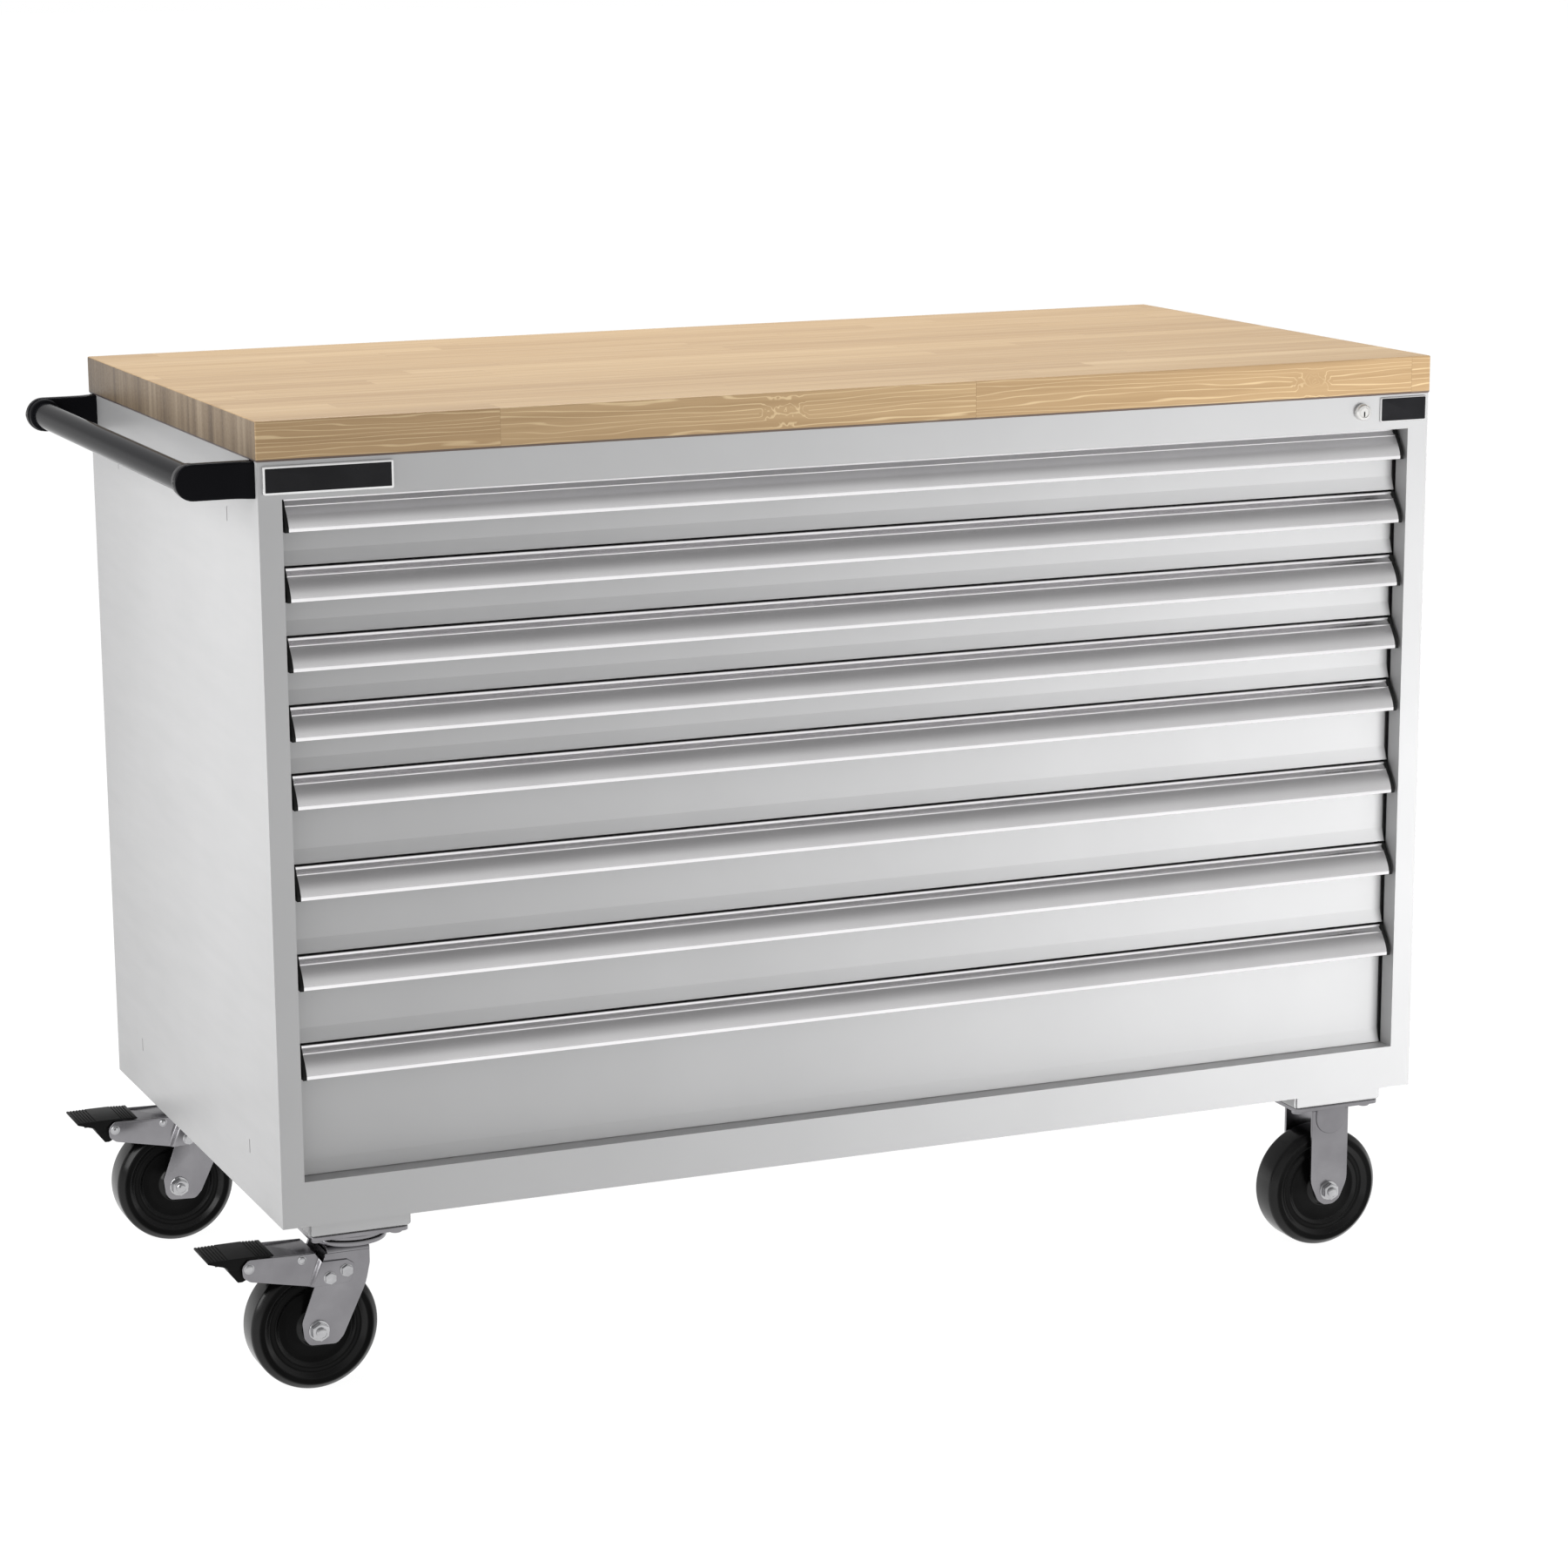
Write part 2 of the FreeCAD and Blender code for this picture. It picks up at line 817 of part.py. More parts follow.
def swivel_fork(place):
    """The turning half of a swivel caster: lower race, crown and two raked cheeks."""
    name = f"{place}_fork"
    y = CASTER_Y[place]
    crown_high = plate_low - FORK_TOP
    cheeks = both_sides(name, [
        (-33.5, crown_high),
        (15, crown_high),
        (15, plate_low - 37),
        (10, plate_low - 60),
        (-18, axle_z - 9),
        (-26, axle_z - 18),
        (-58, axle_z - 16.5),
        (-64, axle_z - 8),
        (-66, axle_z + 11),
    ], swivel_x, y, fork_inside, fork_gauge)
    crown = box(
        f"{name}_crown",
        (swivel_x - 33, swivel_x + 15),
        (y - fork_outside, y + fork_outside),
        (crown_high - 4, crown_high),
    )
    race = cylinder(f"{name}_race", "Z", RACE_RADIUS + 1, 6, swivel_x, y, crown_high)
    hole = cylinder(
        f"{name}_hole", "Z", KINGPIN_RADIUS + play, 30, swivel_x, y, crown_high - 15)
    axle = cylinder(f"{name}_axle_hole", "Y", axle_radius, 100, lead_x, y - 50, axle_z)
    body = fuse(f"{name}_blank", [*cheeks, crown, race])
    keep(name, cut(name, body, [hole, axle]))


ARM_PIVOT = (-124, plate_low - 28.3)
ARM_RIVET = (-63, plate_low - 26)
TAB_BOLTS = ((-13.5, plate_low - 41.6), (-33, plate_low - 48.2))
RIVET_HEIGHT = 2.5
TAB_BOLT_HEIGHT = 5


def brake_arm(place):
    """Two joggled side plates, bolted to the cheeks and joined by a web over the wheel."""
    name = f"{place}_brake_arm"
    y = CASTER_Y[place]
    plates = both_sides(f"{name}_plate", [
        (-125, plate_low - 17.9),
        (-39, plate_low - 20),
        (-45.5, plate_low - 28.6),
        (-57, plate_low - 57.5),
        (-124, plate_low - 44),
        (-130, plate_low - 40),
        (-132, plate_low - 26),
    ], swivel_x, y, arm_inside, arm_gauge)
    joggle_width = fork_outside + arm_gauge - arm_inside
    joggles = both_sides(f"{name}_joggle", [
        (-46.5, plate_low - 28.6),
        (-40.5, plate_low - 28.6),
        (-52, plate_low - 57.5),
        (-58, plate_low - 57.5),
    ], swivel_x, y, arm_inside, joggle_width)
    tabs = both_sides(f"{name}_tab", [
        (-46.5, plate_low - 28.6),
        (-12, plate_low - 29),
        (-5, plate_low - 33),
        (-3.5, plate_low - 38),
        (-8, plate_low - 56),
        (-58, plate_low - 57.5),
    ], swivel_x, y, fork_outside, arm_gauge)
    web = box(
        f"{name}_web",
        (swivel_x - 94, swivel_x - 46),
        (y - arm_inside, y + arm_inside),
        (plate_low - 23.5, plate_low - 20.5),
    )
    holes = [
        cylinder(f"{name}_hole", "Y", radius, 100, swivel_x + across, y - 50, up)
        for (across, up), radius in (
            (ARM_PIVOT, pivot_radius),
            (ARM_RIVET, pivot_radius - 1),
        )
    ]
    body = fuse(f"{name}_blank", [*plates, *joggles, *tabs, web])
    keep(name, cut(name, body, holes))


def brake_pedal(place):
    """A moulded foot pedal on the arm's end pivot, pressed down at its outer end."""
    name = f"{place}_pedal"
    y = CASTER_Y[place]
    across, up = ARM_PIVOT
    pivot_x = swivel_x + across
    pad = extrusion(f"{name}_pad", "XZ", [
        (swivel_x - 95, plate_low - 15.5),
        (swivel_x - 121, plate_low - 14.2),
        (swivel_x - 170.5, plate_low - 15),
        (swivel_x - 170.5, plate_low - 17.5),
        (swivel_x - 151, plate_low - 23.5),
        (swivel_x - 145, plate_low - 28),
        (swivel_x - 134.8, plate_low - 28),
        (swivel_x - 134.8, plate_low - 24.5),
        (swivel_x - 126.5, plate_low - 16.7),
        (swivel_x - 95, plate_low - 16.9),
    ], y - fork_inside, y + fork_inside)
    hub_half = arm_inside - 0.5
    hook = extrusion(f"{name}_hook", "XZ", [
        (swivel_x - 112, plate_low - 15.5),
        (swivel_x - 151, plate_low - 20),
        (swivel_x - 144, plate_low - 32),
        (swivel_x - 135.5, plate_low - 44),
        (swivel_x - 131, plate_low - 44),
        (swivel_x - 118, plate_low - 38),
        (swivel_x - 112, plate_low - 30),
    ], y - hub_half, y + hub_half)
    bore = cylinder(f"{name}_bore", "Y", pivot_radius + play, 100, pivot_x, y - 50, up)
    keep(name, cut(name, fuse(f"{name}_blank", [pad, hook]), [bore]))


def rigid_forks():
    """Each rigid caster's plate with its straight fork, whose cheeks have a pressed boss."""
    solids = []
    for place, y in CASTER_Y.items():
        cheeks = both_sides("rigid_cheek", [
            (-25.2, plate_low),
            (25.2, plate_low),
            (25.2, axle_z + 11),
            (15, axle_z - 12),
            (6, axle_z - 18),
            (-6, axle_z - 18),
            (-15, axle_z - 12),
            (-25.2, axle_z + 11),
        ], rigid_x, y, fork_inside, fork_gauge)
        bosses = [
            cylinder("rigid_boss", "Y", 20, BOSS_HEIGHT, rigid_x, start, plate_low - 16)
            for start in (y - fork_outside - BOSS_HEIGHT, y + fork_outside)
        ]
        crown = box(
            "rigid_crown",
            (rigid_x - 25.2, rigid_x + 25.2),
            (y - fork_outside, y + fork_outside),
            (plate_low - 4, plate_low),
        )
        blank = fuse("rigid_blank", [*cheeks, *bosses, crown, mounting_plate(rigid_x, y)])
        above = box(
            "rigid_above",
            (rigid_x - 30, rigid_x + 30),
            (y - 60, y + 60),
            (plate_high, plate_high + 20),
        )
        axle = cylinder("rigid_axle_hole", "Y", axle_radius, 100, rigid_x, y - 50, axle_z)
        solids.append(cut("rigid_fork", blank, [above, axle]))
    keep("rigid_forks", group("rigid_forks", solids))


def wheel(name, x, y):
    """A solid moulded wheel with a stepped rim, a dished face and a hub on each side."""
    half = cell("wheel_width") * 0.5
    radius = cell("wheel_radius")
    bore = axle_radius + play
    face = [
        (bore, half + 0.4),
        (20, half + 0.4),
        (22, half - 3),
        (36, half - 7),
        (44.5, half - 8),
        (46, half - 5),
        (57, half - 4.5),
        (59, half),
        (radius - 8, half),
        (radius - 4, half - 1),
        (radius - 1, half - 4),
        (radius, half - 8),
    ]
    mirrored = [(across, -as_size(up)) for across, up in reversed(face)]
    body = doc.addObject("PartDesign::Body", name)
    sketch = outline(body, "XY", face + mirrored)
    turned = body.newObject("PartDesign::Revolution", f"{name}_revolution")
    turned.Profile = sketch
    turned.ReferenceAxis = (sketch, ["V_Axis"])
    turned.Angle = 360
    keep(name, put_at(body, x, y, axle_z))


def axle_set(x, y):
    """An axle bolt with its head, nut and the two spacers beside the wheel."""
    stud = 12
    nut_height = 9
    start = y - fork_outside - stud
    shank = cylinder("axle_shank", "Y", axle_radius, fork_outside * 2 + stud, x, start, axle_z)
    head = hexagon("axle_head", 10.5, 7, x, y + fork_outside, axle_z)
    nut = hexagon("axle_nut", 11, nut_height, x, y - fork_outside - nut_height, axle_z)
    spacers = []
    gap = cell("wheel_width") * 0.5 + 0.6
    for start in (y - fork_inside, y + gap):
        ring = cylinder("spacer_blank", "Y", 10, fork_inside - gap, x, start, axle_z)
        hole = cylinder("spacer_hole", "Y", axle_radius, 20, x, start - 5, axle_z)
        spacers.append(cut("spacer", ring, [hole]))
    return [fuse("axle_bolt", [shank, head, nut]), *spacers]


def caster_hardware(place):
    """A swivel caster's axle, the arm's pivot and rivet, and its four tab bolts."""
    name = f"{place}_bolts"
    y = CASTER_Y[place]
    solids = axle_set(lead_x, y)
    for (across, up), radius in ((ARM_PIVOT, pivot_radius), (ARM_RIVET, pivot_radius - 1)):
        x = swivel_x + across
        reach = arm_inside + arm_gauge
        shank = cylinder("rivet_shank", "Y", radius, reach * 2, x, y - reach, up)
        heads = [
            cylinder("rivet_head", "Y", radius + 2, RIVET_HEIGHT, x, start, up)
            for start in (y - reach - RIVET_HEIGHT, y + reach)
        ]
        solids.append(fuse("rivet", [shank, *heads]))
    for across, up in TAB_BOLTS:
        face = fork_outside + arm_gauge
        for start in (y - face - TAB_BOLT_HEIGHT, y + face):
            solids.append(
                hexagon("tab_bolt", 7.2, TAB_BOLT_HEIGHT, swivel_x + across, start, up))
    keep(name, group(name, solids))


def cabinet_fasteners():
    """Rigid axles, caster plate bolts, worktop screws, handle screws and the lock's nut."""
    solids = []
    for y in CASTER_Y.values():
        solids += axle_set(rigid_x, y)
    nut_low = channel_low + cell("channel_gauge")
    head_height = 6
    screw_radius = 6
    screw_height = 4
    screw_step = 230
    for centre in (swivel_x, rigid_x):
        for x, y in plate_bolt_places(centre):
            shank = cylinder("plate_shank", "Z", BOLT_RADIUS, nut_low - plate_low, x, y, plate_low)
            head = cylinder("plate_bolt_head", "Z", 7.5, head_height, x, y, plate_low - head_height)
            nut = cylinder("plate_nut", "Z", 8, 7, x, y, nut_low)
            solids.append(fuse("plate_bolt", [head, shank, nut]))
    for side in SIDES:
        for step in (-1, 0, 1):
            x = inward(side, 12)
            y = middle_y + step * screw_step
            z = body_top - gauge - screw_height
            solids.append(cylinder("worktop_screw", "Z", screw_radius, screw_height, x, y, z))
    for y in CASTER_Y.values():
        for up in (-10, 10):
            solids.append(cylinder(
                "handle_screw", "X", screw_radius, screw_height, left + gauge, y, tube_z + up))
    nut = cylinder(
        "lock_nut_blank", "Y", cell("nut_radius"), cell("nut_thickness"),
        lock_x, front + gauge, lock_z,
    )
    hole = cylinder(
        "lock_nut_hole", "Y", barrel_radius, cell("barrel_length"), lock_x, front, lock_z)
    solids.append(cut("lock_nut", nut, [hole]))
    keep("cabinet_fasteners", group("cabinet_fasteners", solids))


# ---------------------------------------------------------------- the whole chest

def build():
    for side in SIDES:
        side_panel(side)
    back_panel()
    front_header()
    base_pan()
    caster_channels()
    worktop()
    slide_columns()
    for number, (low, high) in enumerate(drawer_levels(), start=1):
        tray(number, low, high)
        pull(number, high)
        caps(number, high)
        carriage(number, low)
    lock()
    badge_plates()
    push_handle()
    swivel_plates()
    rigid_forks()
    for place, y in CASTER_Y.items():
        swivel_fork(place)
        brake_arm(place)
        brake_pedal(place)
        caster_hardware(place)
        wheel(f"{place}_left_wheel", lead_x, y)
        wheel(f"{place}_right_wheel", rigid_x, y)
    cabinet_fasteners()


def check():
    """Stops when any feature failed or any sub-part has no valid shape."""
    for thing in doc.Objects:
        if "Invalid" in thing.State or "Error" in thing.State:
            raise RuntimeError(f"{thing.Name} failed: {thing.State}")
    for name, piece in PIECES.items():
        if piece.Shape.isNull() or not piece.Shape.isValid() or not piece.Shape.Solids:
            raise RuntimeError(f"{name} has no valid shape")


build()
doc.recompute()
check()
os.makedirs("parts", exist_ok=True)
for name, piece in PIECES.items():
    piece.Shape.exportStep(os.path.join("parts", f"{name}.step"))
print(len(PIECES), "sub-parts written")
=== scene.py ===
import json
import math
import bmesh
import bpy
from mathutils import Matrix, Vector


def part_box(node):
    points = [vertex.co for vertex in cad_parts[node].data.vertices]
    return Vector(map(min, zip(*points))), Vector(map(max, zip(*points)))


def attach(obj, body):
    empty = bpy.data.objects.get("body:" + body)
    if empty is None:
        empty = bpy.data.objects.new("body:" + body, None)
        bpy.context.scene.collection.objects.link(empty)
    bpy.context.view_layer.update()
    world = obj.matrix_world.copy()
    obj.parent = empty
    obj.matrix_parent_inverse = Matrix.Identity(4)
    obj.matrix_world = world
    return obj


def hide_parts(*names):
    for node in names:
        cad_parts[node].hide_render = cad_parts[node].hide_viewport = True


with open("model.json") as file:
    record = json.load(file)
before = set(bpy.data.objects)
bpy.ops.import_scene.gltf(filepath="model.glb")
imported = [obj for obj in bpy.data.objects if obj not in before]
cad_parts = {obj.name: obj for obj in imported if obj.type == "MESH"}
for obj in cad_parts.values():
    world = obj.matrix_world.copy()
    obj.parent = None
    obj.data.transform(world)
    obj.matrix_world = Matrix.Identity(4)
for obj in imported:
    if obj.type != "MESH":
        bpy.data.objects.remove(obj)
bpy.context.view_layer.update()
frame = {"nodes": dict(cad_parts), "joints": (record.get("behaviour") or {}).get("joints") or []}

MM = 0.001

# ---------------------------------------------------------------- places from the frame

CABINET_LOW, CABINET_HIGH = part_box("base_pan")
LEFT, RIGHT = CABINET_LOW.x, CABINET_HIGH.x
FRONT, BACK = CABINET_LOW.y, CABINET_HIGH.y
MIDDLE = Vector(((LEFT + RIGHT) / 2, (FRONT + BACK) / 2, 0))
BODY_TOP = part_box("worktop")[0].z
PLATE_THICK = 5
PLATE_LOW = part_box("swivel_plates")[1].z - PLATE_THICK * MM
DRAWERS = range(1, 9)
PLACES = ("front", "rear")


def joint_place(name):
    return Vector(next(j for j in frame["joints"] if j["name"] == name)["pos_m"])


AXLE_DROP = (joint_place("front_left_roll").z - PLATE_LOW) / MM
LEAD = (joint_place("front_left_roll").x - joint_place("front_swivel").x) / MM
SWIVEL_X = joint_place("front_swivel").x
RIGID_X = joint_place("front_right_roll").x

KNOT_RISE = 22 * MM
KNOTS = [(x, FRONT, BODY_TOP + KNOT_RISE) for x in (MIDDLE.x - 0.110, MIDDLE.x + 0.560)]

# ---------------------------------------------------------------- materials


class Nodes:
    """A short way to build one material's node tree."""

    def __init__(self, name):
        self.material = bpy.data.materials.new(name)
        self.material.use_nodes = True
        self.tree = self.material.node_tree
        self.shader = self.tree.nodes["Principled BSDF"]

    def feed(self, value, socket):
        if isinstance(value, bpy.types.NodeSocket):
            self.tree.links.new(value, socket)
        else:
            socket.default_value = value

    def add(self, kind, inputs, **settings):
        node = self.tree.nodes.new(kind)
        for key, value in settings.items():
            setattr(node, key, value)
        for key, value in inputs.items():
            self.feed(value, node.inputs[key])
        return node

    def finish(self, inputs):
        for key, value in inputs.items():
            self.feed(value, self.shader.inputs[key])
        return self.material

    def place(self, scale=(1, 1, 1), shift=None):
        """Object coordinates in metres, shifted and then stretched."""
        vector = self.add("ShaderNodeTexCoord", {}).outputs["Object"]
        if shift is not None:
            vector = self.add(
                "ShaderNodeVectorMath", {0: vector, 1: shift}, operation="ADD").outputs["Vector"]
        return self.add(
            "ShaderNodeMapping", {"Vector": vector, "Scale": scale}).outputs["Vector"]

    def noise(self, vector, scale, detail=3.0, roughness=0.55):
        return self.add("ShaderNodeTexNoise", {
            "Vector": vector,
            "Scale": scale,
            "Detail": detail,
            "Roughness": roughness,
        }).outputs["Fac"]

    def math(self, operation, a, b=0.0):
        return self.add("ShaderNodeMath", {0: a, 1: b}, operation=operation).outputs[0]

    def spread(self, value, from_low, from_high, to_low, to_high, curve="LINEAR"):
        return self.add("ShaderNodeMapRange", {
            "Value": value,
            "From Min": from_low,
            "From Max": from_high,
            "To Min": to_low,
            "To Max": to_high,
        }, interpolation_type=curve).outputs["Result"]

    def ramp(self, value, stops):
        node = self.add("ShaderNodeValToRGB", {"Fac": value})
        elements = node.color_ramp.elements
        while len(elements) < len(stops):
            elements.new(0.5)
        for element, (position, color) in zip(elements, stops):
            element.position = position
            element.color = (*color, 1)
        return node.outputs["Color"]

    def mix(self, factor, first, second):
        node = self.tree.nodes.new("ShaderNodeMix")
        node.data_type = "RGBA"
        self.feed(factor, node.inputs[0])
        self.feed(first, node.inputs[6])
        self.feed(second, node.inputs[7])
        return node.outputs[2]

    def bump(self, height, strength, distance):
        return self.add("ShaderNodeBump", {
            "Height": height,
            "Strength": strength,
            "Distance": distance,
        }).outputs["Normal"]


def powder_coat(name, color, roughness, peel, specular):
    """Powder coat: fine orange peel, slight mottling and a few polished smears."""
    n = Nodes(name)
    tint = n.ramp(n.noise(n.place(), 7.0), [
        (0.30, tuple(c * 0.975 for c in color)),
        (0.70, tuple(min(c * 1.015, 1.0) for c in color)),
    ])
    smear = n.noise(n.place((2.0, 2.0, 14.0)), 3.0, 5.0)
    peel_height = n.noise(n.place(), 620.0, 2.0)
    return n.finish({
        "Base Color": tint,
        "Roughness": n.spread(smear, 0.3, 0.7, roughness - 0.03, roughness + 0.04),
        "Specular IOR Level": specular,
        "Normal": n.bump(peel_height, peel, 0.0004),
    })


def satin_metal(name, dark, light, roughness, stretch, cloud, relief=0.04, uneven=0.05):
    """Bare or plated metal: a clouded tone and fine lines that stretch its reflections."""
    n = Nodes(name)
    lines = n.noise(n.place(stretch), 1.0, 4.0, 0.65)
    tint = n.ramp(n.noise(n.place(), cloud, 4.0), [(0.30, dark), (0.72, light)])
    return n.finish({
        "Base Color": tint,
        "Metallic": 1.0,
        "Roughness": n.spread(lines, 0.3, 0.7, roughness - uneven, roughness + uneven),
        "Normal": n.bump(lines, relief, 0.0002),
    })


def moulded(name, color, roughness, grain, specular, polish=None):
    """Moulded plastic or resin; curved and radial faces can be more polished than the flanks."""
    n = Nodes(name)
    if polish is not None:
        normal = n.add("ShaderNodeTexCoord", {}).outputs["Normal"]
        along = n.math("ABSOLUTE", n.add(
            "ShaderNodeSeparateXYZ", {"Vector": normal}).outputs["Y"])
        specular = n.spread(along, 0.80, 0.995, polish, specular)
    rubbed = n.noise(n.place(), 22.0, 4.0)
    tint = n.ramp(rubbed, [(0.35, color), (0.75, tuple(c * 1.6 + 0.001 for c in color))])
    return n.finish({
        "Base Color": tint,
        "Roughness": n.spread(rubbed, 0.3, 0.75, roughness - 0.04, roughness + 0.06),
        "Specular IOR Level": specular,
        "Normal": n.bump(n.noise(n.place(), 900.0), grain, 0.0003),
    })


def butcher_block():
    """Edge-glued hardwood: long staves with their own tones, grain, knots and glue lines."""
    n = Nodes("butcher_block")
    stave_width, glue_width, line_height = 40 * MM, 0.7 * MM, 6.0 * MM
    axes = n.add("ShaderNodeSeparateXYZ", {"Vector": n.place()}).outputs
    across = n.math("DIVIDE", n.math("SUBTRACT", axes["Y"], FRONT - 3 * MM), stave_width)
    row = n.math("FLOOR", across)
    in_row = n.math("FRACT", across)

    def row_random(offset):
        return n.add(
            "ShaderNodeTexWhiteNoise", {"W": n.math("ADD", row, offset)},
            noise_dimensions="1D").outputs["Value"]

    length = n.spread(row_random(17.3), 0.0, 1.0, 0.45, 0.95)
    along = n.math("ADD", n.math("DIVIDE", axes["X"], length), row_random(3.1))
    stave = n.add("ShaderNodeCombineXYZ", {"X": row, "Y": n.math("FLOOR", along)}).outputs[0]
    random = n.add("ShaderNodeTexWhiteNoise", {"Vector": stave}).outputs
    shift = n.add(
        "ShaderNodeVectorMath", {0: random["Color"], 1: (7.0, 7.0, 7.0)},
        operation="MULTIPLY").outputs["Vector"]

    rings = n.add("ShaderNodeTexWave", {
        "Vector": n.place((1.1, 12.0, 12.0), shift),
        "Scale": 1.1,
        "Distortion": 7.0,
        "Detail": 3.0,
        "Detail Scale": 0.9,
        "Detail Roughness": 0.55,
    }, wave_type="RINGS", rings_direction="X").outputs["Fac"]
    fibre = n.noise(n.place((7.0, 300.0, 300.0), shift), 1.0, 4.0, 0.65)
    cloud = n.noise(n.place((2.5, 22.0, 22.0), shift), 1.0, 3.0)

    tone = n.ramp(random["Value"], [
        (0.0, (0.322, 0.214, 0.111)),
        (0.4, (0.355, 0.242, 0.129)),
        (0.7, (0.380, 0.264, 0.143)),
        (1.0, (0.415, 0.296, 0.166)),
    ])
    strength = n.spread(cloud, 0.3, 0.7, 0.4, 1.0)
    figure = n.math("MULTIPLY", n.spread(rings, 0.55, 1.0, 0.0, 0.38), strength)
    wood = n.mix(figure, tone, (0.255, 0.162, 0.080, 1))
    wood = n.mix(n.spread(fibre, 0.42, 0.72, 0.0, 0.30), wood, (0.235, 0.148, 0.072, 1))

    # Pale growth lines follow the upright long edges and wind round two knots at the front.
    facing = n.add(
        "ShaderNodeSeparateXYZ",
        {"Vector": n.add("ShaderNodeTexCoord", {}).outputs["Normal"]}).outputs
    bend = n.noise(n.place((2.2, 3.0, 26.0), shift), 1.0, 3.0)
    level = n.math("DIVIDE", n.math("SUBTRACT", axes["Z"], KNOTS[0][2]), line_height)
    phase = n.math("ABSOLUTE", n.math("ADD", level, n.spread(bend, 0.0, 1.0, -3.5, 3.5)))
    swirl = n.noise(n.place(), 62.0, 2.0)
    for knot in KNOTS:
        offset = n.add(
            "ShaderNodeVectorMath", {0: n.place(), 1: knot}, operation="SUBTRACT").outputs[0]
        offset = n.add(
            "ShaderNodeVectorMath", {0: offset, 1: (0.7, 1.0, 1.0)},
            operation="MULTIPLY").outputs[0]
        distance = n.add(
            "ShaderNodeVectorMath", {0: offset}, operation="LENGTH").outputs["Value"]
        distance = n.math("ADD", distance, n.spread(swirl, 0.3, 0.7, -5 * MM, 5 * MM))
        around = n.math("DIVIDE", distance, 3.8 * MM)
        near = n.spread(distance, 3 * MM, 22 * MM, 1.0, 0.0, "SMOOTHERSTEP")
        gap = n.math("SUBTRACT", around, phase)
        phase = n.math("ADD", phase, n.math("MULTIPLY", gap, near))
    line = n.math("COSINE", n.math("MULTIPLY", phase, 2 * math.pi))
    line = n.math("MULTIPLY", n.spread(line, 0.80, 1.0, 0.0, 0.75), strength)
    line = n.math("MULTIPLY", line, n.spread(near, 0.15, 0.85, 1.0, 0.35))
    upright = n.math("LESS_THAN", n.math("ABSOLUTE", facing["Z"]), 0.6)
    wood = n.mix(n.math("MULTIPLY", line, upright), wood, (0.62, 0.48, 0.29, 1))

    half_line = glue_width / 2 / stave_width
    row_line = n.math(
        "MAXIMUM", n.math("LESS_THAN", in_row, half_line),
        n.math("GREATER_THAN", in_row, 1 - half_line))
    past_joint = n.math("MULTIPLY", n.math("FRACT", along), length)
    glue = n.math("MAXIMUM", row_line, n.math("LESS_THAN", past_joint, 0.5 * MM))
    wood = n.mix(n.math("MULTIPLY", glue, 0.45), wood, (0.15, 0.09, 0.045, 1))

    # The two ends show the staves end on: upright bands of several tones, with fine pores.
    on_end = n.math("GREATER_THAN", n.math("ABSOLUTE", facing["X"]), 0.8)
    bands = n.noise(n.place((0.0, 46.0, 1.5)), 1.0, 4.0, 0.6)
    end_wood = n.ramp(bands, [
        (0.34, (0.092, 0.063, 0.038)),
        (0.47, (0.150, 0.107, 0.066)),
        (0.56, (0.170, 0.124, 0.078)),
        (0.68, (0.240, 0.185, 0.125)),
    ])
    pores = n.noise(n.place((0.0, 900.0, 500.0)), 1.0, 2.0)
    end_wood = n.mix(n.spread(pores, 0.5, 0.75, 0.0, 0.3), end_wood, (0.090, 0.060, 0.034, 1))
    end_wood = n.mix(n.math("MULTIPLY", row_line, 0.5), end_wood, (0.080, 0.054, 0.032, 1))

    wood = n.mix(on_end, wood, end_wood)
    # Painted shade: the wood is darkened to a dark mauve in a thin band along its bottom edge, where
    # it sits on the body.
    foot = n.math("LESS_THAN", axes["Z"], BODY_TOP + 2.6 * MM)
    wood = n.mix(n.math("MULTIPLY", foot, 0.8), wood, (0.045, 0.036, 0.045, 1))
    return n.finish({
        "Base Color": wood,
        "Roughness": n.spread(fibre, 0.3, 0.7, 0.36, 0.50),
        "Specular IOR Level": 0.25,
        "Normal": n.bump(n.math("SUBTRACT", fibre, n.math("MULTIPLY", glue, 0.8)), 0.12, 0.0004),
    })


PAINT = powder_coat("grey_powder_coat", (0.36, 0.36, 0.363), 0.34, 0.04, 0.40)
BLACK_PAINT = powder_coat("black_powder_coat", (0.005, 0.005, 0.006), 0.12, 0.02, 0.02)
ALUMINIUM = satin_metal(
    "satin_aluminium", (0.84, 0.83, 0.84), (0.90, 0.89, 0.90), 0.25, (0.6, 1500.0, 1500.0), 9.0,
    relief=0.002, uneven=0.012)
ZINC = satin_metal(
    "bright_zinc", (0.215, 0.210, 0.222), (0.29, 0.285, 0.298), 0.24, (260.0, 260.0, 30.0), 14.0,
    relief=0.005, uneven=0.02)
BOLT_ZINC = satin_metal(
    "bolt_zinc", (0.38, 0.38, 0.39), (0.54, 0.54, 0.55), 0.15, (200.0, 200.0, 200.0), 40.0,
    relief=0.01, uneven=0.03)
DULL_ZINC = satin_metal(
    "slide_zinc", (0.40, 0.40, 0.41), (0.52, 0.52, 0.52), 0.34, (300.0, 8.0, 300.0), 14.0)
LOCK_METAL = satin_metal(
    "lock_nickel", (0.78, 0.77, 0.75), (0.88, 0.87, 0.85), 0.30, (90.0, 90.0, 90.0), 60.0)
RIM_METAL = satin_metal(
    "plate_rim", (0.72, 0.72, 0.72), (0.82, 0.82, 0.82), 0.22, (500.0, 500.0, 20.0), 30.0)
PLASTIC = moulded("black_plastic", (0.005, 0.005, 0.005), 0.42, 0.12, 0.14)
PEDAL_PLASTIC = moulded("pedal_plastic", (0.004, 0.004, 0.004), 0.38, 0.12, 0.05)
WHEEL_RESIN = moulded("wheel_resin", (0.0025, 0.0025, 0.0025), 0.19, 0.01, 0.03, polish=0.26)
